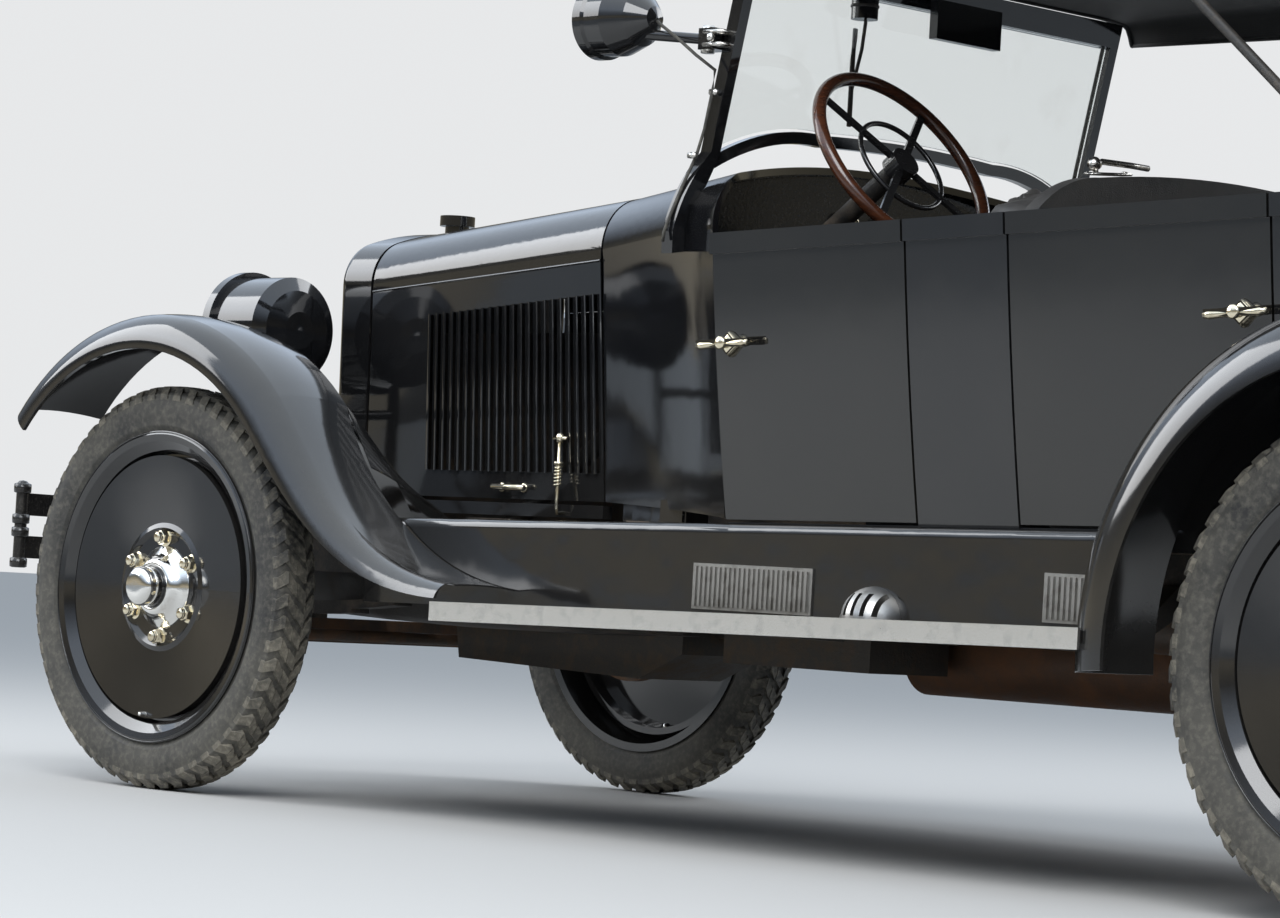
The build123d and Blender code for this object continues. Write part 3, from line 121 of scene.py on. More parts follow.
def new_nodes(owner):
    """The owner's emptied node tree, as a maker of nodes and a list of links."""
    owner.use_nodes = True
    owner.node_tree.nodes.clear()
    return owner.node_tree.nodes, owner.node_tree.links


def add_node(nodes, kind, inputs=None):
    """A shader node of this kind with some inputs set."""
    node = nodes.new("ShaderNode" + kind)
    for socket, value in (inputs or {}).items():
        node.inputs[socket].default_value = value
    return node


FLOOR_HALF = 60
corners = [(-1, -1), (1, -1), (1, 1), (-1, 1)]
floor_mesh = bpy.data.meshes.new("floor_sheet")
floor_mesh.from_pydata([(FLOOR_HALF * a, FLOOR_HALF * b, 0) for a, b in corners], [], [(0, 1, 2, 3)])
ground = put("floor_sheet", floor_mesh)
ground_look = bpy.data.materials.new("pale_floor")
nodes, links = new_nodes(ground_look)
out = add_node(nodes, "OutputMaterial")
shader = add_node(nodes, "BsdfPrincipled", {"Roughness": 0.9})
grain = add_node(nodes, "TexNoise", {"Scale": 1.3})
ramp = add_node(nodes, "ValToRGB")
ramp.color_ramp.elements[0].color = (0.60, 0.60, 0.59, 1)
ramp.color_ramp.elements[1].color = (0.66, 0.66, 0.65, 1)
links.new(grain.outputs["Fac"], ramp.inputs["Fac"])
links.new(ramp.outputs["Color"], shader.inputs["Base Color"])
links.new(shader.outputs["BSDF"], out.inputs["Surface"])
ground.data.materials.append(ground_look)
ground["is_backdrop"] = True

# Sky colours by height: 0 is straight down, 0.5 the horizon, 1 straight up.
SKY = [(0.0, (0.07, 0.07, 0.07, 1)), (0.495, (0.20, 0.187, 0.158, 1)), (0.515, (0.27, 0.24, 0.18, 1)),
       (0.545, (0.158, 0.143, 0.106, 1)), (0.575, (0.058, 0.057, 0.050, 1)), (0.63, (0.24, 0.28, 0.34, 1)),
       (0.72, (0.66, 0.77, 0.93, 1)), (1.0, (0.84, 0.92, 1.0, 1))]
world = bpy.data.worlds.new("yard_sky")
bpy.context.scene.world = world
nodes, links = new_nodes(world)
out = add_node(nodes, "OutputWorld")
place = add_node(nodes, "TexCoord")
split = add_node(nodes, "SeparateXYZ")
half = add_node(nodes, "MapRange", {"From Min": -1, "From Max": 1})
height = add_node(nodes, "ValToRGB")
first, last = height.color_ramp.elements
first.position, first.color = SKY[0]
last.position, last.color = SKY[-1]
for position, colour in SKY[1:-1]:
    height.color_ramp.elements.new(position).color = colour
diffuse_sky = add_node(nodes, "Background", {"Strength": 0.62})
gloss_sky = add_node(nodes, "Background", {"Strength": 1.75})
seen_sky = add_node(nodes, "Background", {"Strength": 1.0, "Color": (0.80, 0.81, 0.82, 1)})
path = add_node(nodes, "LightPath")
seen = add_node(nodes, "Math")
seen.operation = "MAXIMUM"
by_gloss = add_node(nodes, "MixShader")
by_sight = add_node(nodes, "MixShader")
for start, end in [
        (place.outputs["Generated"], split.inputs["Vector"]),
        (split.outputs["Z"], half.inputs["Value"]),
        (half.outputs["Result"], height.inputs["Fac"]),
        (height.outputs["Color"], diffuse_sky.inputs["Color"]),
        (height.outputs["Color"], gloss_sky.inputs["Color"]),
        (path.outputs["Is Glossy Ray"], by_gloss.inputs["Fac"]),
        (diffuse_sky.outputs["Background"], by_gloss.inputs[1]),
        (gloss_sky.outputs["Background"], by_gloss.inputs[2]),
        (path.outputs["Is Camera Ray"], seen.inputs[0]),
        (path.outputs["Is Transmission Ray"], seen.inputs[1]),
        (seen.outputs["Value"], by_sight.inputs["Fac"]),
        (by_gloss.outputs["Shader"], by_sight.inputs[1]),
        (seen_sky.outputs["Background"], by_sight.inputs[2]),
        (by_sight.outputs["Shader"], out.inputs["Surface"])]:
    links.new(start, end)
bpy.context.scene.view_settings.view_transform = "Standard"
print("floor and world ready")


# %% Lamps
def soft_lamp(name, place, aim, size, power):
    """A large square lamp, which gives wide, soft highlights on enamel."""
    data = bpy.data.lights.new(name, "AREA")
    data.size, data.energy = size, power
    lamp = bpy.data.objects.new(name, data)
    lamp.location = place
    lamp.rotation_euler = (aim - place).to_track_quat("-Z", "Y").to_euler()
    bpy.context.scene.collection.objects.link(lamp)


middle = Vector((0, 0, 0.8))
soft_lamp("lamp_key", Vector((-3.5, 5.5, 6.0)), middle, 4.5, 420)
soft_lamp("lamp_front", Vector((6.0, 3.5, 4.0)), middle, 4.0, 220)
soft_lamp("lamp_far", Vector((-1.5, -6.5, 5.0)), middle, 4.0, 200)

# %% [markdown]
# ## Finishes
# Each finish is a small recipe: a clean colour, a second colour over it, and a mask that
# says where. Mostly the second colour is what time puts there; on the tyre tread it is
# partly painted sunlight. Dust settles on faces that look up and low down near the
# road, and it is broken up by noise, so the mask adds those three together. A bump from
# fine noise breaks up the highlights, as brushed enamel, hide or cast iron does.

# %% A finish with a second colour over it, and bump
class Finish:
    """A material whose colour and roughness go from clean to a second colour by a mask; on the tread the
    second colour is partly painted sunlight.
    """

    def __init__(self, name, clean, second_colour, rough=(0.2, 0.6), metal=0.0, coat=0.0):
        self.mat = bpy.data.materials.new(name)
        self.mat.use_nodes = True
        self.nodes, self.links = self.mat.node_tree.nodes, self.mat.node_tree.links
        self.shader = self.nodes["Principled BSDF"]
        for socket, value in (("Metallic", metal), ("Coat Weight", coat), ("Coat Roughness", 0.06)):
            self.shader.inputs[socket].default_value = value
        self.place = add_node(self.nodes, "TexCoord").outputs["Object"]
        self.normal = add_node(self.nodes, "NewGeometry").outputs["Normal"]
        self.colour = self.nodes.new("ShaderNodeMix")
        self.colour.data_type = "RGBA"
        self.colour.inputs["A"].default_value = (*clean, 1)
        self.colour.inputs["B"].default_value = (*second_colour, 1)
        self.rough = add_node(self.nodes, "MapRange", {"To Min": rough[0], "To Max": rough[1]})
        self.links.new(self.colour.outputs["Result"], self.shader.inputs["Base Color"])
        self.links.new(self.rough.outputs["Result"], self.shader.inputs["Roughness"])

    def noise(self, scale, detail=5.0, stretch=(1, 1, 1), rough=0.6):
        """Noise of this scale, stretched along an axis where wanted."""
        mapping = add_node(self.nodes, "Mapping", {"Scale": stretch})
        texture = add_node(self.nodes, "TexNoise", {"Scale": scale, "Detail": detail, "Roughness": rough})
        self.links.new(self.place, mapping.inputs["Vector"])
        self.links.new(mapping.outputs["Vector"], texture.inputs["Vector"])
        return texture.outputs["Fac"]

    def between(self, value, low, high, start=0.0, end=1.0):
        """The value from low to high, spread over start to end."""
        node = add_node(self.nodes, "MapRange",
                        {"From Min": low, "From Max": high, "To Min": start, "To Max": end})
        self.links.new(value, node.inputs["Value"])
        return node.outputs["Result"]

    def sum(self, first, second, operation="ADD"):
        """Two values added, or joined by another operation."""
        node = self.nodes.new("ShaderNodeMath")
        node.operation = operation
        self.links.new(first, node.inputs[0])
        self.links.new(second, node.inputs[1])
        return node.outputs["Value"]

    def vector(self, operation, first, second=None):
        """A step of vector arithmetic from a socket and a constant."""
        node = self.nodes.new("ShaderNodeVectorMath")
        node.operation = operation
        self.links.new(first, node.inputs[0])
        if second is not None:
            node.inputs[1].default_value = second
        return node.outputs["Value" if operation == "LENGTH" else "Vector"]

    def axis(self, vector, name):
        """One component of a vector."""
        node = self.nodes.new("ShaderNodeSeparateXYZ")
        self.links.new(vector, node.inputs["Vector"])
        return node.outputs[name]

    def mix_second_colour(self, spots, up=0.0, low=0.0, low_height=0.9):
        """Mask of the second colour: spots of noise, more on faces that look up and near the road."""
        mask = spots
        if up:
            mask = self.sum(mask, self.between(self.axis(self.normal, "Z"), 0.1, 1.0, 0, up))
        if low:
            mask = self.sum(mask, self.between(self.axis(self.place, "Z"), low_height, 0.1, 0, low))
        mask = self.between(mask, 0.0, 1.0)
        self.links.new(mask, self.colour.inputs["Factor"])
        self.links.new(mask, self.rough.inputs["Value"])
        return self

    def bump(self, height, strength, distance=0.001):
        """A bump from this height, added to the bumps before it."""
        node = add_node(self.nodes, "Bump", {"Strength": strength, "Distance": distance})
        self.links.new(height, node.inputs["Height"])
        before = self.shader.inputs["Normal"].links
        if before:
            self.links.new(before[0].from_socket, node.inputs["Normal"])
        self.links.new(node.outputs["Normal"], self.shader.inputs["Normal"])
        return self

    def wave(self, scale, direction):
        """Even ridges across an axis."""
        node = add_node(self.nodes, "TexWave", {"Scale": scale, "Detail": 3})
        node.bands_direction = direction
        self.links.new(self.place, node.inputs["Vector"])
        return node.outputs["Fac"]

    def cells(self, scale):
        """Small rounded cells, as in the grain of hide."""
        node = add_node(self.nodes, "TexVoronoi", {"Scale": scale})
        self.links.new(self.place, node.inputs["Vector"])
        return node.outputs["Distance"]


print("finish recipe ready")

# %% [markdown]
# ## Enamel
# The body was brushed with many coats of black varnish colour. It is almost black, very
# glossy, slightly wavy, and has a film of road dust that thickens towards the road.

# %% Enamels
BLACK = (0.0085, 0.009, 0.0105)
ROAD_DUST = (0.15, 0.137, 0.115)


def enamel(name, clean, overlay, film, up=0.08, low=0.16, wavy=0.10):
    """Gloss enamel under a film of dust, more of it on faces that look up and low down."""
    look = Finish(name, clean, overlay, rough=(0.055, 0.62), coat=0.15)
    spots = look.between(look.noise(2.6, 7, rough=0.65), 0.44, 0.90, 0.0, film)
    specks = look.between(look.noise(210, 2), 0.60, 0.78, 0.0, film * 0.4)
    look.mix_second_colour(look.sum(spots, specks), up, low)
    look.shader.inputs["IOR"].default_value = 1.62
    look.bump(look.noise(7, 2), wavy, 0.004)
    look.bump(look.noise(420, 2), 0.05, 0.0004)
    return look.mat


body_enamel = enamel("body_enamel", BLACK, ROAD_DUST, 0.07)
door_enamel = enamel("door_enamel", (0.010, 0.0098, 0.0095), (0.15, 0.135, 0.105), 0.06)
fender_enamel = enamel("fender_enamel", BLACK, (0.17, 0.160, 0.14), 0.10, up=0.05, low=0.18)
wheel_enamel = enamel("wheel_enamel", (0.009, 0.009, 0.010), (0.16, 0.148, 0.125), 0.10, up=0.05, low=0.05)
apron_enamel = enamel("apron_enamel", BLACK, ROAD_DUST, 0.05, up=0.04, low=0.12, wavy=0.45)
hood_enamel = enamel("hood_enamel", (0.010, 0.0105, 0.012), (0.16, 0.148, 0.125), 0.06)
print("enamels ready")

# %% [markdown]
# ## Frame black, iron and rust
# Underneath, the paint is flat, and dust, oil and rust cover much of it. Two layers of
# noise give large patches and small pitting.

# %% Frame black and iron
def rusty(name, clean, rust, share, metal=0.0, rough=(0.5, 0.85), up=0.15):
    """Flat paint or iron, with a share of it under rust or dried mud."""
    look = Finish(name, clean, rust, rough=rough, metal=metal)
    patches = look.between(look.noise(9, 8, rough=0.7), 0.62 - share, 0.86 - share)
    pits = look.between(look.noise(160, 3), 0.55, 0.75, 0.0, 0.35)
    look.mix_second_colour(look.sum(patches, pits), up, 0.15)
    look.bump(look.noise(140, 6), 0.35, 0.002)
    return look.mat


frame_black = rusty("frame_black", (0.022, 0.021, 0.020), (0.13, 0.105, 0.08), 0.12)
under_dust = rusty("under_dust", (0.040, 0.034, 0.028), (0.19, 0.155, 0.12), 0.18)
axle_rust = rusty("axle_rust", (0.045, 0.034, 0.026), (0.15, 0.075, 0.035), 0.16)
cast_iron = rusty("cast_iron", (0.055, 0.052, 0.048), (0.14, 0.10, 0.065), 0.14, metal=0.6)
exhaust_rust = rusty("exhaust_rust", (0.09, 0.05, 0.03), (0.19, 0.09, 0.045), 0.2, metal=0.3)
apron_black = rusty("apron_black", (0.012, 0.012, 0.013), (0.13, 0.118, 0.10), 0.02, rough=(0.10, 0.55))
print("frame finishes ready")


# %% [markdown]
# ## Bright metal
# Nickel plate is warmer than chromium. It is worn through to brass at the edges and has
# fine brown pitting, which a high noise with a narrow range gives.

# %% Nickel and brass
def bright(name, clean, tarnish, rough=(0.14, 0.42), share=0.06):
    """Bright metal with a share of it tarnished, and fine pits."""
    look = Finish(name, clean, tarnish, rough=rough, metal=1.0)
    patches = look.between(look.noise(24, 6, rough=0.7), 0.56 - share, 0.84 - share, 0, 0.8)
    pits = look.between(look.noise(420, 3), 0.62, 0.72, 0.0, 0.5)
    look.mix_second_colour(look.sum(patches, pits))
    look.bump(look.noise(320, 4), 0.12, 0.0006)
    return look.mat


pale_brass = bright("pale_brass", (0.82, 0.74, 0.56), (0.42, 0.34, 0.22))
polished = bright("polished_cap", (0.82, 0.81, 0.78), (0.45, 0.42, 0.36), rough=(0.08, 0.30), share=0.0)
trim_nickel = bright("trim_nickel", (0.70, 0.68, 0.64), (0.33, 0.30, 0.26), rough=(0.22, 0.5), share=0.1)

# The boards' outer edge is bright, the kick plates further in are dull.
look = Finish("board_metal", (0.94, 0.94, 0.93), (0.30, 0.29, 0.27), rough=(0.22, 0.40), metal=1.0)
from_middle = look.axis(look.vector("ABSOLUTE", look.place), "Y")
inner = look.between(from_middle, 0.80, 0.79, 0.0, 0.82)
stains = look.between(look.noise(30, 6), 0.50, 0.85, 0.0, 0.5)
look.mix_second_colour(look.sum(stains, inner))
look.bump(look.noise(260, 4), 0.10, 0.0006)
board_metal = look.mat
print("bright metals ready")


# %% [markdown]
# ## Rubber, cloth, hide, wood, lino and glass
# Rubber is dark grey under road dust; the tread blocks carry a lighter, warmer film that is partly dust and
# partly painted sunlight, which leaves the grooves between them looking shaded. The top is a coated cloth
# with a fine weave. The hide has a grain of small cells with creases over them. The rim of the steering wheel
# is red-brown varnished wood with long grain, and the boards carry ribbed black lino.

# %% Rubber and top cloth
def rubber(name, overlay, film):
    """Black rubber under patches of a film of this colour: road dirt on the side walls, and on the tread
    partly painted sunlight.
    """
    look = Finish(name, (0.020, 0.020, 0.020), film, rough=(0.6, 0.92))
    patches = look.between(look.noise(6, 8, rough=0.7), 0.36, 0.80, 0.0, overlay)
    fine = look.between(look.noise(90, 4), 0.45, 0.75, 0.0, overlay * 0.6)
    look.mix_second_colour(look.sum(patches, fine), 0.0, 0.10, 0.35)
    look.bump(look.noise(260, 5), 0.25, 0.0012)
    return look.mat


tyre_rubber = rubber("tyre_rubber", 0.70, (0.185, 0.174, 0.145))
# Painted light: the tread's film is lighter and warmer than the side walls', partly road dust and partly
# painted sunlight on the block tops, so the darker grooves between them look shaded.
tread_rubber_dust_and_sun = rubber("tread_rubber_dust_and_sun", 0.88, (0.290, 0.265, 0.210))

look = Finish("top_cloth", (0.014, 0.0145, 0.016), (0.060, 0.058, 0.055), rough=(0.62, 0.92))
look.mix_second_colour(look.between(look.noise(5, 7), 0.35, 0.85, 0.0, 0.55), 0.25)
weave = look.sum(look.wave(220, "X"), look.wave(220, "Y"), "MULTIPLY")
look.bump(weave, 0.35, 0.0008).bump(look.noise(16, 4), 0.25, 0.006)
look.shader.inputs["Sheen Weight"].default_value = 0.15
top_cloth = look.mat
print("rubber and cloth ready")

# %% Hide
look = Finish("seat_hide", (0.026, 0.027, 0.029), (0.085, 0.080, 0.074), rough=(0.36, 0.66))
look.mix_second_colour(look.between(look.noise(7, 6, rough=0.65), 0.40, 0.78, 0.0, 0.9), 0.12)
look.bump(look.cells(420), 0.45, 0.0008).bump(look.noise(34, 6, rough=0.7), 0.35, 0.003)
seat_hide = look.mat
print("hide ready")

# %% Wood, lino, glass
look = Finish("board_wood", (0.075, 0.048, 0.028), (0.16, 0.13, 0.10), rough=(0.45, 0.8))
look.mix_second_colour(look.between(look.noise(18, 7, (0.2, 3, 3)), 0.35, 0.75), 0.15)
look.bump(look.noise(60, 5, (0.2, 3, 3)), 0.3, 0.001)
board_wood = look.mat

# Far from the column's axis is the wooden rim, and nearer it the black spokes.
COLUMN_HUB, COLUMN_WAY = at(-1.573, 0.295, 1.286), Vector((-0.819152, 0, 0.573576))
look = Finish("steering_finish", (0.100, 0.034, 0.016), (0.045, 0.016, 0.009), rough=(0.16, 0.30), coat=0.4)
grain = look.between(look.noise(38, 6, (1, 1, 5)), 0.35, 0.70)
arm = look.vector("SUBTRACT", look.place, COLUMN_HUB)
from_axis = look.vector("LENGTH", look.vector("CROSS_PRODUCT", arm, COLUMN_WAY))
rim_share = look.between(from_axis, 0.1865, 0.1875)
black = look.nodes.new("ShaderNodeMix")
black.data_type = "RGBA"
black.inputs["A"].default_value = (0.014, 0.014, 0.015, 1)
look.mix_second_colour(grain)
look.links.new(rim_share, black.inputs["Factor"])
look.links.new(look.colour.outputs["Result"], black.inputs["B"])
look.links.new(black.outputs["Result"], look.shader.inputs["Base Color"])
look.bump(look.noise(160, 3, (1, 1, 6)), 0.08, 0.0006)
steering_finish = look.mat

look = Finish("ribbed_lino", (0.020, 0.020, 0.020), (0.16, 0.145, 0.12), rough=(0.5, 0.85))
look.mix_second_colour(look.between(look.noise(14, 7), 0.40, 0.80, 0.0, 0.7), 0.12)
look.bump(look.wave(32, "Y"), 0.9, 0.002)
ribbed_lino = look.mat


def clear_glass(name, tint, ridged=False):
    """Glass with a little dirt, and ridges for a lamp."""
    look = Finish(name, tint, (0.55, 0.53, 0.48), rough=(0.02, 0.25))
    look.mix_second_colour(look.between(look.noise(6, 7), 0.55, 0.95, 0.0, 0.35))
    look.shader.inputs["Transmission Weight"].default_value = 0.95
    look.shader.inputs["IOR"].default_value = 1.45
    if ridged:
        look.bump(look.wave(26, "Y"), 0.8, 0.004)
    return look.mat


window_clear = clear_glass("window_clear", (0.93, 0.96, 0.95))
lamp_clear = clear_glass("lamp_clear", (0.55, 0.57, 0.56), ridged=True)
print("wood, lino and glass ready")

# %% [markdown]
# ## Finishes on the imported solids
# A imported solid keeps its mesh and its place, and only its material slots change. Most
# nodes take the finish of their kind. What stands out on the real car by another colour,
# such as the board's mouldings, has its own line.

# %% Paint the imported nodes
WHEELS = ("front_left", "front_right", "rear_left", "rear_right")
finishes = [
    (body_enamel, ["cowl", "tub", "radiator_shell", "hood_rail", "headlamps",
                   "windshield_frame", "spotlight"]),
    (door_enamel, [f"door_{p}" for p in WHEELS]),
    (hood_enamel, [f"hood_{p}_{s}" for p in ("top", "side") for s in ("left", "right")]),
    (fender_enamel, ["front_fenders", "rear_fenders"]),
    (wheel_enamel, [f"wheel_{p}" for p in WHEELS] + ["spare_wheel"]),
    (apron_enamel, ["splash_aprons"]),
    (apron_black, ["front_bumper", "rear_carrier", "dashboard"]),
    (frame_black, ["frame_rail_left", "frame_rail_right", "cross_members", "springs", "top_bows",
                   "steering_column", "cabin_fittings", "radiator_core"]),
    (axle_rust, ["front_axle", "rear_axle", "knuckle_left", "knuckle_right", "tie_rod"]),
    (under_dust, ["fuel_tank"]), (exhaust_rust, ["exhaust"]), (cast_iron, ["powertrain"]),
    (board_metal, ["board_trim"]),
    (tyre_rubber, [f"tyre_{p}" for p in WHEELS] + ["spare_tyre"]),
    (top_cloth, ["canopy"]),
    (seat_hide, ["front_seat_cushions", "rear_seat_cushions", "front_seat_frame"]),
    (steering_finish, ["steering_wheel"]), (board_wood, ["floor"]), (ribbed_lino, ["running_boards"]),
    (window_clear, ["window_glass"]), (lamp_clear, ["lamp_lenses"]),
]
painted = set()
for material, names in finishes:
    for name in names:
        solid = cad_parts[name]
        solid.data.materials.clear()
        solid.data.materials.append(material)
        painted.add(name)
print("painted", len(painted), "left", sorted(set(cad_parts) - painted))


# %% [markdown]
# ## Helpers for small pieces
# Bolts, beads and mouldings are short meshes of known sections. A bar follows a line of
# points, a turned piece spins a profile about an axis, and a block has softened edges.
# Where a piece has to sit on a panel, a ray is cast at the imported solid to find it.

# %% Mesh helpers
def piece_from(name, mesh_maker, material, body, smooth=True):
    """Build a mesh with bmesh, give it a finish and let it ride on a body."""
    bm = bmesh.new()
    mesh_maker(bm)
    bmesh.ops.recalc_face_normals(bm, faces=bm.faces)
    mesh = bpy.data.meshes.new(name)
    bm.to_mesh(mesh)
    bm.free()
    for face in mesh.polygons:
        face.use_smooth = smooth
    mesh.materials.append(material)
    piece = put(name, mesh)
    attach(piece, body)
    return piece


def skin(bm, rings, closed=False):
    """Faces between rings of vertices that follow each other; closed joins last to first."""
    pairs = list(zip(rings, rings[1:])) + ([(rings[-1], rings[0])] if closed else [])
    for low, high in pairs:
        for k in range(len(low)):
            n = (k + 1) % len(low)
            bm.faces.new((low[k], low[n], high[n], high[k]))


def add_turned(bm, profile, centre, axis, steps=48):
    """Spin (radius, along) points about an axis through centre."""
    along = Vector(axis).normalized()
    side = along.orthogonal().normalized()
    other = along.cross(side)
    turns = [2 * pi * i / steps for i in range(steps)]
    rings = [[bm.verts.new(centre + along * reach + side * (radius * cos(a)) + other * (radius * sin(a)))
              for a in turns] for radius, reach in profile]
    skin(bm, rings)
    for ring in (rings[0], rings[-1]):
        if (ring[0].co - ring[steps // 2].co).length > 1e-5:
            bm.faces.new(ring)


def add_hoop(bm, section, centre, axis, steps=96):
    """A hoop about an axis, from a closed section of (radius, along) points."""
    along = Vector(axis).normalized()
    side = along.orthogonal().normalized()
    other = along.cross(side)
    loops = []
    for i in range(steps):
        a = 2 * pi * i / steps
        out = side * cos(a) + other * sin(a)
        loops.append([bm.verts.new(centre + along * reach + out * radius) for radius, reach in section])
    skin(bm, loops, closed=True)


def add_bar(bm, points, radius, steps=10):
    """A round bar along a line of points, with closed ends."""
    rings = []
    for i, point in enumerate(points):
        before = points[max(i - 1, 0)]
        after = points[min(i + 1, len(points) - 1)]
        along = (after - before).normalized()
        side = along.cross(Vector((0.31, 0.17, 0.94))).normalized()
        other = along.cross(side)
        rings.append([bm.verts.new(point + side * (radius * cos(2 * pi * k / steps))
                                   + other * (radius * sin(2 * pi * k / steps)))
                      for k in range(steps)])
    skin(bm, rings)
    bm.faces.new(rings[0])
    bm.faces.new(rings[-1])


def add_panel(bm, outer, inner):
    """A closed thin panel between two grids of points of the same shape."""
    grids = [[[bm.verts.new(p) for p in row] for row in grid] for grid in (outer, inner)]
    rows, columns = len(outer), len(outer[0])
    for grid in grids:
        for a, b in zip(grid, grid[1:]):
            for k in range(columns - 1):
                bm.faces.new((a[k], a[k + 1], b[k + 1], b[k]))
    first, second = grids
    for k in range(columns - 1):
        for r in (0, -1):
            bm.faces.new((first[r][k], first[r][k + 1], second[r][k + 1], second[r][k]))
    for r in range(rows - 1):
        for k in (0, -1):
            bm.faces.new((first[r][k], first[r + 1][k], second[r + 1][k], second[r][k]))


def add_block(bm, centre, size, turn=None, soft=0.0015):
    """A block with bevelled edges."""
    made = bmesh.ops.create_cube(bm, size=1.0)
    verts = made["verts"]
    edges = {e for v in verts for e in v.link_edges}
    place = Matrix.Translation(centre) @ (turn.to_4x4() if turn else Matrix.Identity(4))
    for v in verts:
        v.co = Vector((v.co.x * size[0], v.co.y * size[1], v.co.z * size[2]))
    if soft:
        made = bmesh.ops.bevel(bm, geom=list(edges), offset=soft, segments=2, affect="EDGES")
        verts = list({v for f in made["faces"] for v in f.verts} | {v for v in verts if v.is_valid})
    for v in verts:
        v.co = place @ v.co


def add_dome(bm, centre, axis, radius, height, steps=12):
    """A low round head, such as a bolt's or a rivet's."""
    profile = [(radius, 0.0), (radius, height * 0.35), (radius * 0.85, height * 0.72),
               (radius * 0.5, height * 0.94), (0.00002, height)]
    add_turned(bm, profile, centre, axis, steps)


def on_solid(name, start, towards):
    """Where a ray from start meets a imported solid, and the way its surface faces."""
    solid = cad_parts[name]
    hit, where, facing, _ = solid.ray_cast(Vector(start), Vector(towards).normalized())
    return (where, facing) if hit else (None, None)


def middle_of(node):
    """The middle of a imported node's box."""
    return sum(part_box(node), Vector()) / 2


print("helpers ready")

# %% [markdown]
# ## Tyres
# A balloon tyre of the time has a round section and a tread of separate blocks: a row in
# the middle and large lugs on the shoulders. The section is spun about the axle, 6 mm
# under the tread's height, and the blocks are set on it round the tyre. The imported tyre
# stays for collision and this one stands for it.

# %% Tyres with block tread
# Radius and distance from the middle plane, from the bead to the middle of the tread.
TYRE_SECTION = [(0.3085, 0.036), (0.3135, 0.0402), (0.3215, 0.0425), (0.3290, 0.0462), (0.3320, 0.0492),
                (0.3350, 0.0494), (0.3480, 0.0522), (0.3640, 0.0538), (0.3800, 0.0520), (0.3905, 0.0478),
                (0.3925, 0.0488), (0.3945, 0.0480), (0.4000, 0.0405), (0.4045, 0.0290), (0.4075, 0.0150),
                (0.4080, 0.0)]
BLOCKS = 58         # blocks in each row round the tyre
TAPER = 0.985       # a block's top is this much narrower than its foot
CHAMFER = 0.04      # and this share of a pitch shorter at both ends
# Each row: inner and outer end across the tyre, radius of the top at both, radius of the
# foot at both, share of the pitch that a block fills, start and slant in pitches.
SHOULDER_ROW = (0.0335, 0.0505, 0.4120, 0.3950, 0.3990, 0.3830, 0.60, 0.0, -0.30)
SIDE_ROW = (0.0130, 0.0318, 0.4138, 0.4127, 0.4050, 0.4030, 0.64, 0.4, 0.55)
MIDDLE_ROW = (-0.0112, 0.0112, 0.4140, 0.4140, 0.4060, 0.4060, 0.66, 0.0, 0.45)
TREAD = [(sign * row[0], sign * row[1], *row[2:]) for sign in (-1, 1) for row in (SHOULDER_ROW, SIDE_ROW)]
TREAD.append(MIDDLE_ROW)
BLOCK_FACES = ((4, 5, 6, 7), (0, 1, 5, 4), (1, 2, 6, 5), (2, 3, 7, 6), (3, 0, 4, 7))


def make_tyre(name, node, centre, axis, body):
    """A tyre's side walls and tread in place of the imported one."""
    axle = Vector(axis)
    side = Vector((0, 0, 1))
    other = axle.cross(side)

    def point(radius, reach, angle):
        return centre + axle * reach + side * (radius * cos(angle)) + other * (radius * sin(angle))

    def build(bm):
        profile = TYRE_SECTION + [(r, -y) for r, y in reversed(TYRE_SECTION[:-1])]
        steps = 96
        skin(bm, [[bm.verts.new(point(r, y, 2 * pi * i / steps)) for i in range(steps)] for r, y in profile])
        pitch = 2 * pi / BLOCKS
        for start, end, top_in, top_out, foot_in, foot_out, share, shift, lean in TREAD:
            for index in range(BLOCKS):
                a0 = pitch * (index + shift)
                a1 = a0 + pitch * share
                slant, trim = pitch * lean, pitch * CHAMFER
                foot = [point(foot_in, start, a0), point(foot_in, start, a1),
                        point(foot_out, end, a1 + slant), point(foot_out, end, a0 + slant)]
                top = [point(top_in, start * TAPER, a0 + trim), point(top_in, start * TAPER, a1 - trim),
                       point(top_out, end * TAPER, a1 + slant - trim),
                       point(top_out, end * TAPER, a0 + slant + trim)]
                v = [bm.verts.new(p) for p in foot + top]
                for f in BLOCK_FACES:
                    bm.faces.new([v[k] for k in f]).material_index = 1
    tyre = piece_from(name, build, tyre_rubber, body, smooth=False)
    # The tread blocks take the finish that has painted sunlight in its film.
    tyre.data.materials.append(tread_rubber_dust_and_sun)
    for face in tyre.data.polygons:
        face.use_smooth = face.material_index == 0
    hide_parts(node)


for place in WHEELS:
    make_tyre(f"tread_{place}", f"tyre_{place}", middle_of(f"tyre_{place}"), (0, 1, 0), f"wheel_{place}")
make_tyre("tread_spare", "spare_tyre", middle_of("spare_tyre"), (-1, 0, 0), "chassis")

# %% [markdown]
# ## Wheel trim
# The disc wheels are black, with a beaded edge round the rim, six hexagon nuts, a
# polished cap on a flared collar, and a tyre valve. The cap and nuts slip over those of
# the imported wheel, a hair's breadth larger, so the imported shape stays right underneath.

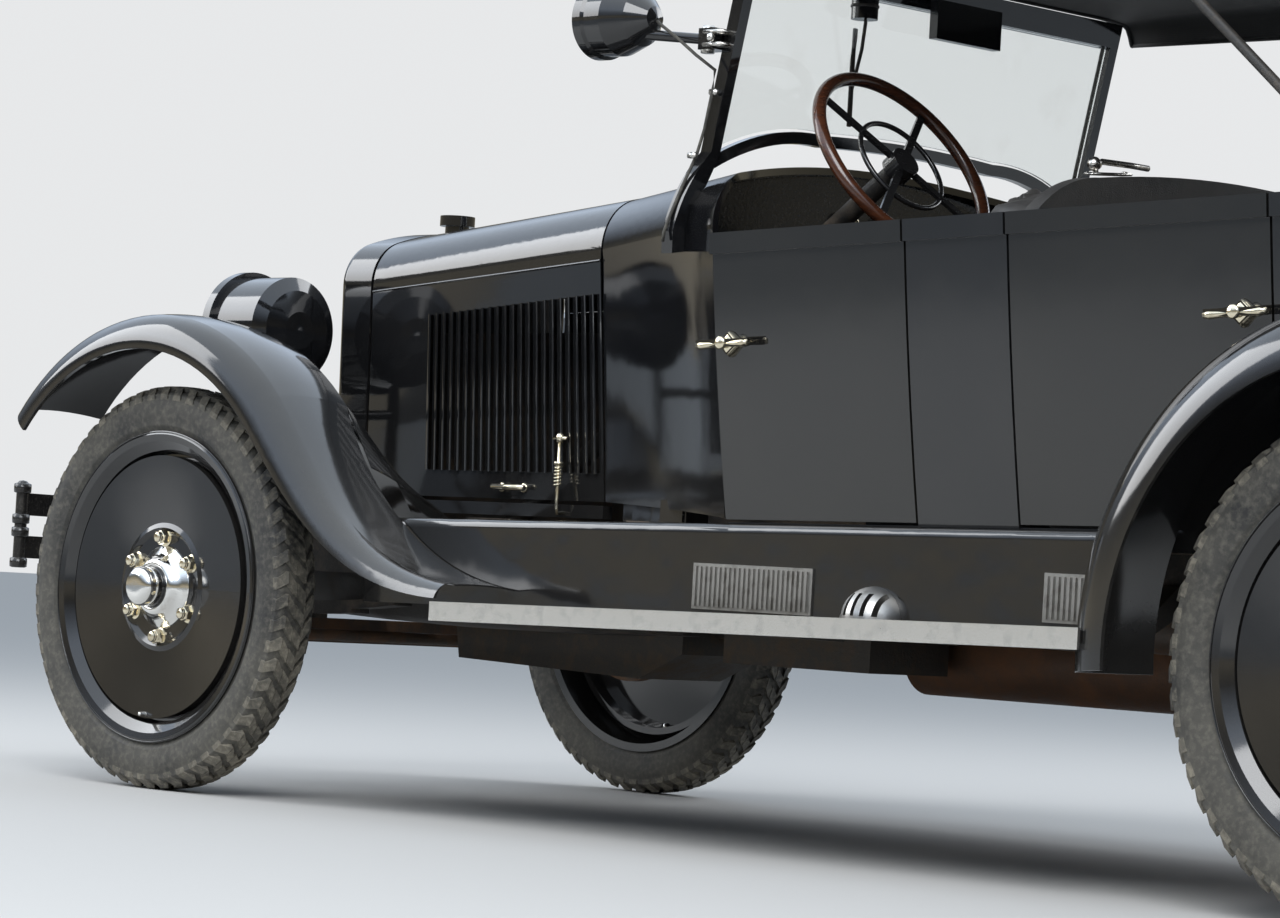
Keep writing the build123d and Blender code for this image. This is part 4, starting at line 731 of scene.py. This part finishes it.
# %% Wheel trim
# Sections as radius and distance outwards from the wheel's middle plane.
CAP = [(0.0405, 0.050), (0.0405, 0.0800), (0.0398, 0.0850), (0.0365, 0.0905), (0.0300, 0.0945),
       (0.0200, 0.0964), (0.0100, 0.0968), (0.00002, 0.0969)]
FLARE = [(0.0860, 0.0205), (0.0830, 0.0240), (0.0700, 0.0290), (0.0610, 0.0385), (0.0578, 0.0475),
         (0.0520, 0.0520), (0.0402, 0.0530), (0.0402, 0.0515), (0.0440, 0.0512), (0.0562, 0.0470),
         (0.0650, 0.0225)]
WASHER = [(0.0190, 0.0195), (0.0190, 0.0235), (0.0150, 0.0245)]
NUT = [(0.0158, 0.022), (0.0158, 0.0360), (0.0146, 0.0385), (0.0122, 0.0395)]
STUD = [(0.0118, 0.038), (0.0116, 0.0430), (0.0098, 0.0468), (0.0062, 0.0490), (0.00002, 0.0497)]
BEAD = [(0.3163, 0.0490), (0.3166, 0.0506), (0.3178, 0.0510), (0.3186, 0.0500), (0.3186, 0.0485)]
VALVE = [(0.0085, 0.028), (0.0085, 0.0315), (0.0050, 0.0325), (0.0048, 0.044), (0.0040, 0.046),
         (0.0040, 0.054), (0.0026, 0.056)]
NUT_CIRCLE, VALVE_DROP, VALVE_SHIFT = 0.102, 0.262, 0.012


def wheel_trim(name, centre, axis, body):
    """Hub cap, six wheel nuts, the bead round the disc and the valve."""
    outwards = Vector(axis)
    side = Vector((0, 0, 1))
    other = outwards.cross(side)

    def build_cap(bm):
        add_turned(bm, CAP, centre, outwards, 64)
        add_hoop(bm, FLARE, centre, outwards, 64)

    def build_nuts(bm):
        for index in range(6):
            a = 2 * pi * index / 6
            spot = centre + (other * sin(a) + side * cos(a)) * NUT_CIRCLE
            for section, steps in ((WASHER, 24), (NUT, 6), (STUD, 20)):
                add_turned(bm, section, spot, outwards, steps)

    def build_bead(bm):
        add_hoop(bm, BEAD, centre, outwards, 128)

    def build_valve(bm):
        add_turned(bm, VALVE, centre - side * VALVE_DROP + other * VALVE_SHIFT, outwards, 14)
    piece_from(f"{name}_cap", build_cap, polished, body)
    piece_from(name, build_nuts, pale_brass, body, smooth=False)
    piece_from(f"{name}_line", build_bead, wheel_enamel, body)
    piece_from(f"{name}_valve", build_valve, polished, body)


for place in WHEELS:
    out = (0, 1 if "left" in place else -1, 0)
    wheel_trim(f"wheel_nuts_{place}", middle_of(f"tyre_{place}"), out, f"wheel_{place}")
wheel_trim("wheel_nuts_spare", middle_of("spare_tyre"), (-1, 0, 0), "chassis")
print("wheel trim on five wheels")

# %% [markdown]
# ## The top
# The raised top is one sheet of coated cloth, stretched from the windshield's header
# over two bows and down round the back, with a short valance along each side. It is
# laid out as a grid: each station along the car is an arch from the edge on one side,
# over the roof, to the other. A point of the arch lies where a ray from the middle of
# the car leaves the top's three outlines: from the side, from the front and in plan.
# Those outlines are joined softly, so that no hard crease shows, and the cloth sinks a
# little between the bows.

# %% The top as one sheet
TOP_FRONT, TOP_REAR, TOP_BACK = -1.365, -3.080, -3.372
HALF_HEAD, HALF_FOOT = 0.622, 0.648
CREST = (-2.150, 1.788)


def arc_through(a, b, c, x):
    """Height at x of the upright arc through three points."""
    (x1, z1), (x2, z2), (x3, z3) = a, b, c
    d = 2 * (x1 * (z2 - z3) + x2 * (z3 - z1) + x3 * (z1 - z2))
    s1, s2, s3 = x1 * x1 + z1 * z1, x2 * x2 + z2 * z2, x3 * x3 + z3 * z3
    cx = (s1 * (z2 - z3) + s2 * (z3 - z1) + s3 * (z1 - z2)) / d
    cz = (s1 * (x3 - x2) + s2 * (x1 - x3) + s3 * (x2 - x1)) / d
    return cz + sqrt((x2 - cx) ** 2 + (z2 - cz) ** 2 - (x - cx) ** 2)


def side_height(x):
    """Height of the top's outline seen from the side."""
    if x > TOP_REAR:
        return arc_through((TOP_FRONT, 1.684), CREST, (TOP_REAR, 1.748), x)
    if x > TOP_REAR - 0.150:
        a = (x - TOP_REAR) / -0.150
        return 1.748 - 0.148 * (1 - sqrt(max(1 - a ** 2.2, 0))) - 0.012 * a
    a = (x - TOP_REAR + 0.150) / (TOP_BACK - TOP_REAR + 0.150)
    return 1.588 + (1.206 - 1.588) * min(a, 1)


def front_height(y):
    """Height of the top's outline seen from the front, above its side."""
    y = abs(y)
    if y < HALF_HEAD - 0.050:
        return arc_through((-0.572, 1.694), (0, 1.790), (0.572, 1.694), y)
    a = min((y - HALF_HEAD + 0.050) / 0.050, 1)
    return 1.634 + 0.060 * sqrt(max(1 - a * a, 0))


def half_width(x, z):
    """Half width of the top at a height, with its rounded corners at the back."""
    width = HALF_FOOT + (HALF_HEAD - HALF_FOOT) * min(max((z - 1.090) / 0.544, 0), 1)
    corner = 0.230
    past = TOP_BACK + corner - x
    if past <= 0:
        return width
    return width - corner + sqrt(max(corner * corner - past * past, 0))


def low_edge(x):
    """Height of the cloth's lower edge: valance, slanting quarter, then the belt."""
    if x > -2.780:
        return 1.640 + (1.628 - 1.640) * (TOP_FRONT - x) / (TOP_FRONT + 2.780)
    belt = 1.132 + 0.033 * (-1.750 - x) + 0.0006
    if x > -2.980:
        return 1.628 + (1.190 - 1.628) * (-2.780 - x) / 0.200
    return max(belt, 1.190 + (belt - 1.190) * min((-2.980 - x) / 0.06, 1))


def arch(x, count):
    """Points of the cloth at station x, from the left edge over the roof to the right."""
    top = side_height(x)
    low = min(low_edge(x), top - 0.0004)
    shoulder_z = min(1.634, top)
    points = []
    for j in range(count):
        t = j / (count - 1) * 2 - 1
        sign = -1 if t > 0 else 1
        t = 1 - abs(t)
        climb = 0.24
        if t < climb:
            z = low + (max(shoulder_z - 0.02, low) - low) * t / climb
            y = half_width(x, z)
            z = min(z, top, front_height(y * 0.9995))
        else:
            z0 = max(shoulder_z - 0.02, low)
            y0 = half_width(x, z0)
            a = (t - climb) / (1 - climb) * pi / 2
            y = y0 * (cos(a) ** 0.75 if a < pi / 2 else 0)
            roof = front_height(min(y, HALF_HEAD))
            soft = 0.010
            gap = top - roof
            blended = roof + (gap - sqrt(gap * gap + 4 * soft * soft)) / 2 + soft * 0.3
            rise = min(a / 0.42, 1)
            rise = rise * rise * (3 - 2 * rise)
            z = z0 + (min(blended, top) - z0) * (1 - (1 - rise) ** 2)
        points.append(at(x, sign * y, z))
    return points


def sag(x, y):
    """Sink of the cloth between the header, the bows and the back."""
    stops = [-1.365, -2.300, -2.940, -3.100]
    for a, b in zip(stops, stops[1:]):
        if b <= x <= a:
            s = (x - a) / (b - a)
            return 0.010 * sin(pi * s) * max(1 - (abs(y) / 0.60) ** 4, 0)
    return 0.0


stations = [TOP_FRONT - 0.0005]
while stations[-1] > TOP_BACK + 0.001:
    x = stations[-1]
    step = 0.030 if x > -2.74 else 0.016
    step = 0.0075 if x < -3.05 else step
    stations.append(max(x - step, TOP_BACK + 0.0006))
ARCH = 97


def top_sheet(bm):
    """The cloth's grid, with an opening at the back for the window."""
    grid = []
    for x in stations:
        row = []
        for p in arch(x, ARCH):
            y = p.y
            drop = sag(x, y) if p.z > 1.60 else 0
            flutter = 0.0022 * noise.noise(Vector((x * 5, y * 5, p.z * 5)))
            row.append(bm.verts.new((p.x, p.y - flutter * (1 if y > 0 else -1), p.z - drop + flutter)))
        grid.append(row)
    for a, b in zip(grid, grid[1:]):
        for j in range(ARCH - 1):
            corners = [a[j].co, a[j + 1].co, b[j + 1].co, b[j].co]
            middle = sum(corners, Vector()) / 4
            car_x = middle.x - AXLE
            if car_x < -3.2 and abs(middle.y) < 0.190 and 1.390 < middle.z < 1.510:
                continue
            if (corners[0] - corners[2]).length > 1e-6:
                bm.faces.new((a[j], a[j + 1], b[j + 1], b[j]))
    bmesh.ops.remove_doubles(bm, verts=bm.verts, dist=0.00005)


top = piece_from("top_cloth_sheet", top_sheet, top_cloth, "chassis")
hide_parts("canopy")

# %% [markdown]
# ## Seats
# Each cushion is a sprung pad under hide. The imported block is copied, drawn in a little
# and remeshed into even squares. A cloth simulation then blows it up slightly, which
# crowns its faces and pulls in its sides between the corners. Sewn pleats come last, as
# shallow grooves.

# %% Cushions
def split_solids(node):
    """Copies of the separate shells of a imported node, lowest first."""
    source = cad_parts[node]
    bm = bmesh.new()
    bm.from_mesh(source.data)
    bmesh.ops.remove_doubles(bm, verts=bm.verts, dist=0.00005)
    left, shells = set(bm.verts), []
    while left:
        start = left.pop()
        group, edge = {start}, [start]
        while edge:
            v = edge.pop()
            for e in v.link_edges:
                other = e.other_vert(v)
                if other not in group:
                    group.add(other)
                    edge.append(other)
        left -= group
        shells.append(group)
    meshes = []
    for group in shells:
        part = bmesh.new()
        known = {v: part.verts.new(v.co) for v in group}
        for face in bm.faces:
            if all(v in group for v in face.verts):
                part.faces.new([known[v] for v in face.verts])
        mesh = bpy.data.meshes.new("pad")
        part.to_mesh(mesh)
        part.free()
        meshes.append(mesh)
    bm.free()
    return sorted(meshes, key=lambda m: min(v.co.z for v in m.vertices))


def finished_mesh(piece):
    """The piece's mesh with its modifiers applied."""
    graph = bpy.context.evaluated_depsgraph_get()
    mesh = bpy.data.meshes.new_from_object(piece.evaluated_get(graph))
    piece.modifiers.clear()
    old = piece.data
    piece.data = mesh
    bpy.data.meshes.remove(old)
    return mesh


def puffed(name, mesh, voxel, inset, cap):
    """A pad: remeshed, drawn in by inset, blown up by cloth and held to cap."""
    pad = put(name, mesh)
    remesh = pad.modifiers.new("even", "REMESH")
    remesh.mode, remesh.voxel_size = "VOXEL", voxel
    finished_mesh(pad)
    rounding = pad.modifiers.new("rounding", "SMOOTH")
    rounding.factor, rounding.iterations = 0.5, 10
    finished_mesh(pad)
    for v in pad.data.vertices:
        v.co -= v.normal * inset
    rest = [v.co.copy() for v in pad.data.vertices]
    cloth = pad.modifiers.new("cloth", "CLOTH")
    cloth.settings.use_pressure = True
    cloth.settings.uniform_pressure_force = 4
    cloth.settings.effector_weights.gravity = 0
    scene = bpy.context.scene
    for number in range(1, 21):
        scene.frame_set(number)
        bpy.context.view_layer.update()
    finished_mesh(pad)
    scene.frame_set(1)
    blown = [v.co.copy() for v in pad.data.vertices]
    for v, a, b in zip(pad.data.vertices, rest, blown):
        step = b - a
        v.co = a + step * min(1.0, cap / max(step.length, 1e-6))
    return pad


def pleated(pad, pitch, depth, faces):
    """Sewn grooves, one each pitch across the car, on the faces that people sit on."""
    normals = [v.normal.copy() for v in pad.data.vertices]
    for v, n in zip(pad.data.vertices, normals):
        weight = max(n.dot(faces), 0) ** 0.7
        groove = abs(((v.co.y / pitch) % 1.0) - 0.5) * 2
        v.co -= n * depth * weight * (groove ** 8)
        v.co += n * depth * 0.35 * weight * (1 - groove ** 2)
        v.co += n * 0.0035 * noise.noise(v.co * 9)


def finish_pad(pad, node):
    """Hide on the pad, rounder corners, and the pad riding on the chassis in place of the imported node."""
    pad.data.materials.clear()
    pad.data.materials.append(seat_hide)
    for face in pad.data.polygons:
        face.use_smooth = True
    round_off = pad.modifiers.new("round_off", "SUBSURF")
    round_off.levels = round_off.render_levels = 1
    finished_mesh(pad)
    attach(pad, "chassis")
    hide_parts(node)


VOXEL = 0.012
PLEAT_PITCH, PLEAT_DEPTH = 0.086, 0.009

for seat in ("front_seat_cushions", "rear_seat_cushions"):
    low_mesh, high_mesh = split_solids(seat)
    label = seat.split("_seat")[0]
    cushion = puffed(f"{label}_cushion", low_mesh, VOXEL, inset=0.014, cap=0.016)
    pleated(cushion, PLEAT_PITCH, PLEAT_DEPTH, Vector((0.25, 0, 1)))
    finish_pad(cushion, seat)
    squab = puffed(f"{label}_squab", high_mesh, VOXEL, inset=0.012, cap=0.014)
    pleated(squab, PLEAT_PITCH, PLEAT_DEPTH, Vector((1, 0, 0.1)))
    finish_pad(squab, seat)
    print(label, "pads", len(cushion.data.polygons), len(squab.data.polygons))

# %% [markdown]
# ## Door handles
# The doors open with a bar handle on a diamond-shaped boss, in pale nickel that is worn
# to brass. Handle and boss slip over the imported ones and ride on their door.

# %% Door handles
def door_face(z):
    """Distance from the car's middle to the door's skin at this height."""
    return 0.586 + 0.076 * (z - 0.606) / 0.526 + 0.006


def door_handle(name, body, x, z, side):
    """A bar handle on its diamond-shaped boss."""
    face = door_face(z)

    def build(bm):
        rings = []
        for out, grow in ((0.0, 1.12), (0.008, 1.12), (0.0145, 0.95), (0.0175, 0.60)):
            ring = []
            for k in range(16):
                a = 2 * pi * k / 16
                reach = 0.0255 / (abs(cos(a)) + abs(sin(a)) * 1.18) * grow
                ring.append(bm.verts.new(at(x + reach * cos(a), side * (face + out), z + reach * sin(a))))
            rings.append(ring)
        skin(bm, rings)
        bm.faces.new(rings[-1])
        add_turned(bm, [(0.0105, 0.012), (0.0088, 0.018), (0.0105, 0.026), (0.0125, 0.036), (0.009, 0.0385),
                        (0.0001, 0.0395)], at(x, side * face, z), (0, side, 0), 20)
        bar = []
        for k in range(13):
            t = k / 12 * 2 - 1
            bar.append((at(x + 0.0625 * t, side * (face + 0.028), z - 0.002 - 0.0035 * t),
                        0.0062 + 0.0034 * abs(t) ** 1.5 - (0.003 if abs(t) > 0.95 else 0)))
        loops = []
        for centre, radius in bar:
            loops.append([bm.verts.new(centre + Vector((0, radius * 0.95 * cos(2 * pi * q / 12),
                                                        radius * 0.88 * sin(2 * pi * q / 12))))
                          for q in range(12)])
        skin(bm, loops)
        bm.faces.new(loops[0])
        bm.faces.new(loops[-1])
    piece_from(name, build, pale_brass, body)


for side, label in ((1, "left"), (-1, "right")):
    door_handle(f"handle_front_{label}", f"door_front_{label}", -1.492, 0.922, side)
    door_handle(f"handle_rear_{label}", f"door_rear_{label}", -2.650, 0.972, side)
print("four door handles")

# %% [markdown]
# ## Hood fittings
# Each side panel has a small pull near its lower edge. Over the louvers stands a spring
# catch: a rod with a coil spring and a cross handle, hooked at the ledge.

# %% Hood pulls and catches
def hood_skin(x, z):
    """Distance from the car's middle to the hood's side skin."""
    start, _ = on_solid("hood_side_left", at(x, 1.2, z), (0, -1, 0))
    return start.y if start else 0.30


def hood_fittings(label, side):
    """The pull and the spring catch of one side panel."""
    y_pull = hood_skin(-0.640, 0.640)
    x = -0.760
    y_foot = hood_skin(x, 0.627) + 0.005
    y_rod = 0.009 + max(hood_skin(x + dx, z) for dx in (-0.012, 0.0, 0.012) for z in (0.66, 0.71, 0.76))

    def build(bm):
        z = 0.634 + 0.05 * 0.452
        pull = [at(-0.549, side * (y_pull + 0.0155), z), at(-0.641, side * (y_pull + 0.0155), z)]
        add_bar(bm, pull, 0.0058, 14)
        for place in (-0.563, -0.627):
            add_dome(bm, at(place, side * (y_pull + 0.0005), z), (0, side, 0), 0.010, 0.005, 16)
            add_bar(bm, [at(place, side * y_pull, z), at(place, side * (y_pull + 0.015), z)], 0.0044, 12)
        add_bar(bm, [at(x, side * y_foot, 0.612), at(x, side * (y_rod - 0.002), 0.608),
                     at(x, side * y_rod, 0.618), at(x, side * y_rod, 0.752)], 0.0036, 10)
        turns, wire = 6, []
        for step in range(turns * 10 + 1):
            a = 2 * pi * step / 10
            wire.append(at(x + 0.0078 * cos(a), side * (y_rod + 0.0078 * sin(a)), 0.662 + 0.0068 * step / 10))
        add_bar(bm, wire, 0.0018, 6)
        add_turned(bm, [(0.0001, -0.003), (0.0100, -0.003), (0.0105, 0.0), (0.0100, 0.003), (0.0001, 0.003)],
                   at(x, side * y_rod, 0.707), (0, 0, 1), 20)
        add_turned(bm, [(0.0001, -0.011), (0.0070, -0.008), (0.0090, 0), (0.0070, 0.008), (0.0001, 0.011)],
                   at(x, side * y_rod, 0.757), (0, 0, 1), 16)
        add_bar(bm, [at(x - 0.019, side * y_rod, 0.757), at(x + 0.019, side * y_rod, 0.757)], 0.0038, 10)
    piece_from(f"hood_catch_{label}", build, pale_brass, f"hood_side_{label}")


for side, label in ((1, "left"), (-1, "right")):
    hood_fittings(label, side)
print("hood pull at", round(hood_skin(-0.595, 0.653), 4))

# %% [markdown]
# ## Windshield and spotlight fittings
# A bullet lamp is clamped on the left post, and its lead runs down the post in three
# small clips into the cowl. The wiper hangs from its motor under the header.

# %% Spotlight clamp, lead and wiper
def screen_x(z):
    """The windshield leans back: x at a height."""
    return -1.262 - 0.130 * (z - 1.085) / 0.605


def build_clamp(bm):
    x = screen_x(1.500)
    for z in (1.488, 1.512):
        add_block(bm, at(x + 0.018, 0.549, z), (0.052, 0.056, 0.007))
    add_turned(bm, [(0.013, -0.026), (0.0135, -0.010), (0.0115, -0.004), (0.0135, 0.004), (0.0135, 0.020),
                    (0.010, 0.026)], at(x + 0.047, 0.556, 1.500), (0, 0, 1), 20)
    add_dome(bm, at(x + 0.018, 0.577, 1.500), (0, 1, 0), 0.009, 0.010, 6)
    for z in (1.40, 1.28, 1.17):
        reach = 0.5585 if z > 1.29 else 0.580
        add_block(bm, at(screen_x(z), reach, z), (0.020, 0.012, 0.011))


def build_lead(bm):
    top = at(-1.208, 0.600, 1.535)
    points = [top, top + Vector((-0.020, 0.002, -0.012)), at(-1.262, 0.596, 1.500), at(-1.300, 0.582, 1.468),
              at(screen_x(1.44) + 0.002, 0.566, 1.440), at(screen_x(1.40), 0.5635, 1.400),
              at(screen_x(1.33), 0.5635, 1.330), at(screen_x(1.28), 0.570, 1.280),
              at(screen_x(1.22), 0.590, 1.220), at(screen_x(1.17), 0.604, 1.170),
              at(screen_x(1.135), 0.612, 1.135), at(screen_x(1.118), 0.611, 1.116)]
    add_bar(bm, points, 0.0032, 8)


def build_wiper(bm):
    x = screen_x(1.60) - 0.034
    add_bar(bm, [at(x, 0.24, 1.585), at(x - 0.004, 0.24, 1.570), at(x + 0.016, 0.225, 1.52),
                 at(screen_x(1.44) - 0.012, 0.205, 1.44)], 0.0035, 8)
    add_block(bm, at(screen_x(1.47) - 0.012, 0.212, 1.47), (0.006, 0.010, 0.19), soft=0.001)
    for z in (1.60, 1.66):
        add_turned(bm, [(0.0262, -0.003), (0.0275, -0.002), (0.0275, 0.002), (0.0262, 0.003)],
                   at(screen_x(1.6) - 0.034, 0.240, z), (0, 0, 1), 32)


piece_from("spot_clamp", build_clamp, trim_nickel, "chassis")
piece_from("spot_lead", build_lead, tyre_rubber, "chassis")
piece_from("wiper", build_wiper, frame_black, "chassis")
print("spotlight and wiper fitted")

# %% [markdown]
# ## Splash pans
# Between the engine and each frame rail hangs a thin black pan that keeps the road's
# dirt off the engine. It is a bent sheet, so a strip of a few points is enough, given a
# thickness.

# %% Engine splash pans
PAN_SHEET = 0.0016


def build_pans(bm):
    for side in (1, -1):
        rows = []
        for x in (0.02, -0.20, -0.45, -0.70, -0.98):
            low = 0.392 - 0.012 * sin(pi * (0.02 - x))
            rows.append([at(x, side * y, z) for y, z in ((0.3495, 0.480), (0.3440, 0.430), (0.3320, low),
                                                         (0.2900, low - 0.012), (0.1560, low - 0.014))])
        lift = Vector((0, -side * PAN_SHEET, PAN_SHEET))
        add_panel(bm, rows, [[p + lift for p in row] for row in rows])


piece_from("engine_pans", build_pans, frame_black, "chassis")
print("engine pans hung")

# %% [markdown]
# ## Sill panel and bumper pins
# Below the cowl a plain panel closes the body down to the aprons' ledge. It follows the
# cowl's lower edge, which rays from the side find. The bumper's end pins have round
# collars above, between and below the two bars.

# %% Sill panels and bumper pins
def cowl_edge(x):
    """The cowl's lowest outer point at x, as its distance from the middle and height."""
    for step in range(60):
        z = 0.600 + 0.004 * step
        start, _ = on_solid("cowl", at(x, 1.2, z), (0, -1, 0))
        if start and start.y > 0.28:
            return start.y, z
    return None


edge = [(x, cowl_edge(x)) for x in (-0.952, -0.99, -1.03, -1.07, -1.11, -1.15, -1.19, -1.23)]
edge = [(x, found[0], found[1]) for x, found in edge if found]
print("cowl's lower edge", [(round(x, 3), round(y, 3), round(z, 3)) for x, y, z in edge])


def build_sills(bm):
    for side in (1, -1):
        outer, inner = ([[at(x, side * (y - inset), low) for low in (z + 0.012, 0.597)] for x, y, z in edge]
                        for inset in (0.004, 0.0065))
        add_panel(bm, outer, inner)


BUMPER_PIN = (0.544, 0.700)
COLLAR = [(0.0132, -0.011), (0.0185, -0.009), (0.0190, 0.0), (0.0185, 0.009), (0.0132, 0.011)]


def build_pins(bm):
    x, y = BUMPER_PIN
    for side in (1, -1):
        for z in (0.446, 0.512, 0.540, 0.606):
            add_turned(bm, COLLAR, at(x, side * y, z), (0, 0, 1), 24)
        add_turned(bm, [(0.0135, 0.0), (0.0120, 0.005), (0.0080, 0.009), (0.00005, 0.0105)],
                   at(x, side * y, 0.6125), (0, 0, 1), 24)


piece_from("cowl_sills", build_sills, apron_enamel, "chassis", smooth=False)
piece_from("bumper_pins", build_pins, apron_black, "chassis")
print("sill panels and bumper pins fitted")

# %% [markdown]
# ## Robe rail bracket and dials
# On the rounded back of the front seat sits the bright bracket of the robe rail. The
# instrument board carries three dials, each a turned bezel over a pale face, with ticks
# and a needle.

# %% Robe rail bracket and dials
def build_bracket(bm):
    y, z = 0.380, 1.2405
    tilt = Matrix.Rotation(radians(-5), 3, "X")
    add_block(bm, at(-2.135, y, z + 0.002), (0.026, 0.110, 0.005), tilt, soft=0.002)
    add_bar(bm, [at(-2.135, y + 0.036, z), at(-2.135, y + 0.036, z + 0.016), at(-2.135, y + 0.020, z + 0.022),
                 at(-2.135, y - 0.060, z + 0.024), at(-2.135, y - 0.110, z + 0.024)], 0.0055, 12)
    add_turned(bm, [(0.0001, -0.013), (0.009, -0.010), (0.013, 0), (0.009, 0.010), (0.0001, 0.013)],
               at(-2.135, y + 0.040, z + 0.016), (0, 1, 0), 20)
    for dy in (-0.045, 0.045):
        add_dome(bm, at(-2.135, y + dy, z + 0.0045 - dy * 0.09), (0, 0, 1), 0.006, 0.003, 12)


piece_from("robe_bracket", build_bracket, trim_nickel, "chassis")

dial_face = Finish("dial_face", (0.55, 0.53, 0.46), (0.30, 0.27, 0.20), rough=(0.35, 0.6))
dial_face.mix_second_colour(dial_face.between(dial_face.noise(60, 5), 0.4, 0.8)).bump(dial_face.noise(300, 3), 0.05)


DIALS = (-0.11, 0, 0.11)
DIAL_X, DIAL_Z = -1.270, 1.180
TICK_CIRCLE = 0.0325


def build_dials(bm):
    for y in DIALS:
        add_hoop(bm, [(0.0425, -0.002), (0.0435, 0.004), (0.0400, 0.0065), (0.0370, 0.005), (0.0365, 0.001)],
                 at(DIAL_X, y, DIAL_Z), (-1, 0, 0), 48)


def build_faces(bm):
    for y in DIALS:
        add_turned(bm, [(0.0368, -0.001), (0.0368, 0.0016)], at(DIAL_X, y, DIAL_Z), (-1, 0, 0), 48)


def build_ticks(bm):
    for y in DIALS:
        for k in range(25):
            a = radians(-120 + 10 * k)
            long = 0.0055 if k % 4 == 0 else 0.003
            spot = at(DIAL_X - 0.0021, y + TICK_CIRCLE * sin(a), DIAL_Z + TICK_CIRCLE * cos(a))
            add_block(bm, spot, (0.0006, 0.0009, long), Matrix.Rotation(-a, 3, "X"), soft=0)
        turn = radians(-60 + 90 * (y + 0.11) / 0.11)
        spot = at(DIAL_X - 0.0027, y + 0.010 * sin(turn), DIAL_Z + 0.010 * cos(turn))
        add_block(bm, spot, (0.0006, 0.0014, 0.030), Matrix.Rotation(-turn, 3, "X"), soft=0)
        add_dome(bm, at(DIAL_X - 0.002, y, DIAL_Z), (-1, 0, 0), 0.004, 0.0022, 12)


piece_from("dial_bezels", build_dials, pale_brass, "chassis")
piece_from("dial_faces", build_faces, dial_face.mat, "chassis", smooth=False)
piece_from("dial_ticks", build_ticks, frame_black, "chassis", smooth=False)
print("bracket and three dials")

# %% [markdown]
# ## Hems and the rear window of the top
# A rolled hem follows the edge of the cloth, and the rear window is a clear pane in a
# thin metal frame, sewn into the back curtain.

# %% Hems and rear window
def build_hem(bm):
    for side in (0, ARCH - 1):
        line = [arch(x, ARCH)[side] for x in stations[::2] if x > -3.345]
        add_bar(bm, line, 0.0042, 8)
    front = arch(TOP_FRONT, ARCH)
    add_bar(bm, [p + Vector((-0.003, 0, 0)) for p in front[::2]], 0.0050, 8)


def back_x(z):
    """The back curtain's plane: x at a height."""
    return -3.2300 - (1.588 - z) * 0.3717


def build_window(bm):
    corners = [(-0.196, 1.384), (0.196, 1.384), (0.196, 1.516), (-0.196, 1.516)]
    ring = []
    for (y0, z0), (y1, z1) in zip(corners, corners[1:] + corners[:1]):
        for k in range(8):
            t = 0.06 + 0.88 * k / 7
            y, z = y0 + (y1 - y0) * t, z0 + (z1 - z0) * t
            ring.append(at(back_x(z) - 0.001, y, z))
    ring.append(ring[0])
    add_bar(bm, ring, 0.0065, 10)


def build_pane(bm):
    pane = [bm.verts.new(at(back_x(z) + d, y, z)) for d in (0.0005, -0.0015)
            for y, z in ((-0.193, 1.387), (0.193, 1.387), (0.193, 1.513), (-0.193, 1.513))]
    for f in ((0, 1, 2, 3), (7, 6, 5, 4), (0, 4, 5, 1), (1, 5, 6, 2), (2, 6, 7, 3), (3, 7, 4, 0)):
        bm.faces.new([pane[k] for k in f])


piece_from("top_hem", build_hem, top_cloth, "chassis")
piece_from("rear_window_frame", build_window, trim_nickel, "chassis")
piece_from("rear_window_pane", build_pane, window_clear, "chassis", smooth=False)
print("hems and rear window")

# %% [markdown]
# ## Sizes
# The dressed car has to stay in the space of its solids. The boxes of the solids and of the dressed car are
# given side by side, so that they can be set against each other.

# %% The sizes side by side, and finish
def as_list(value):
    """Vectors and tuples as plain lists of numbers."""
    if isinstance(value, (int, float)):
        return round(float(value), 5)
    return [as_list(v) for v in value]


{"cad": as_list(cad_box), "visual": as_list(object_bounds())}
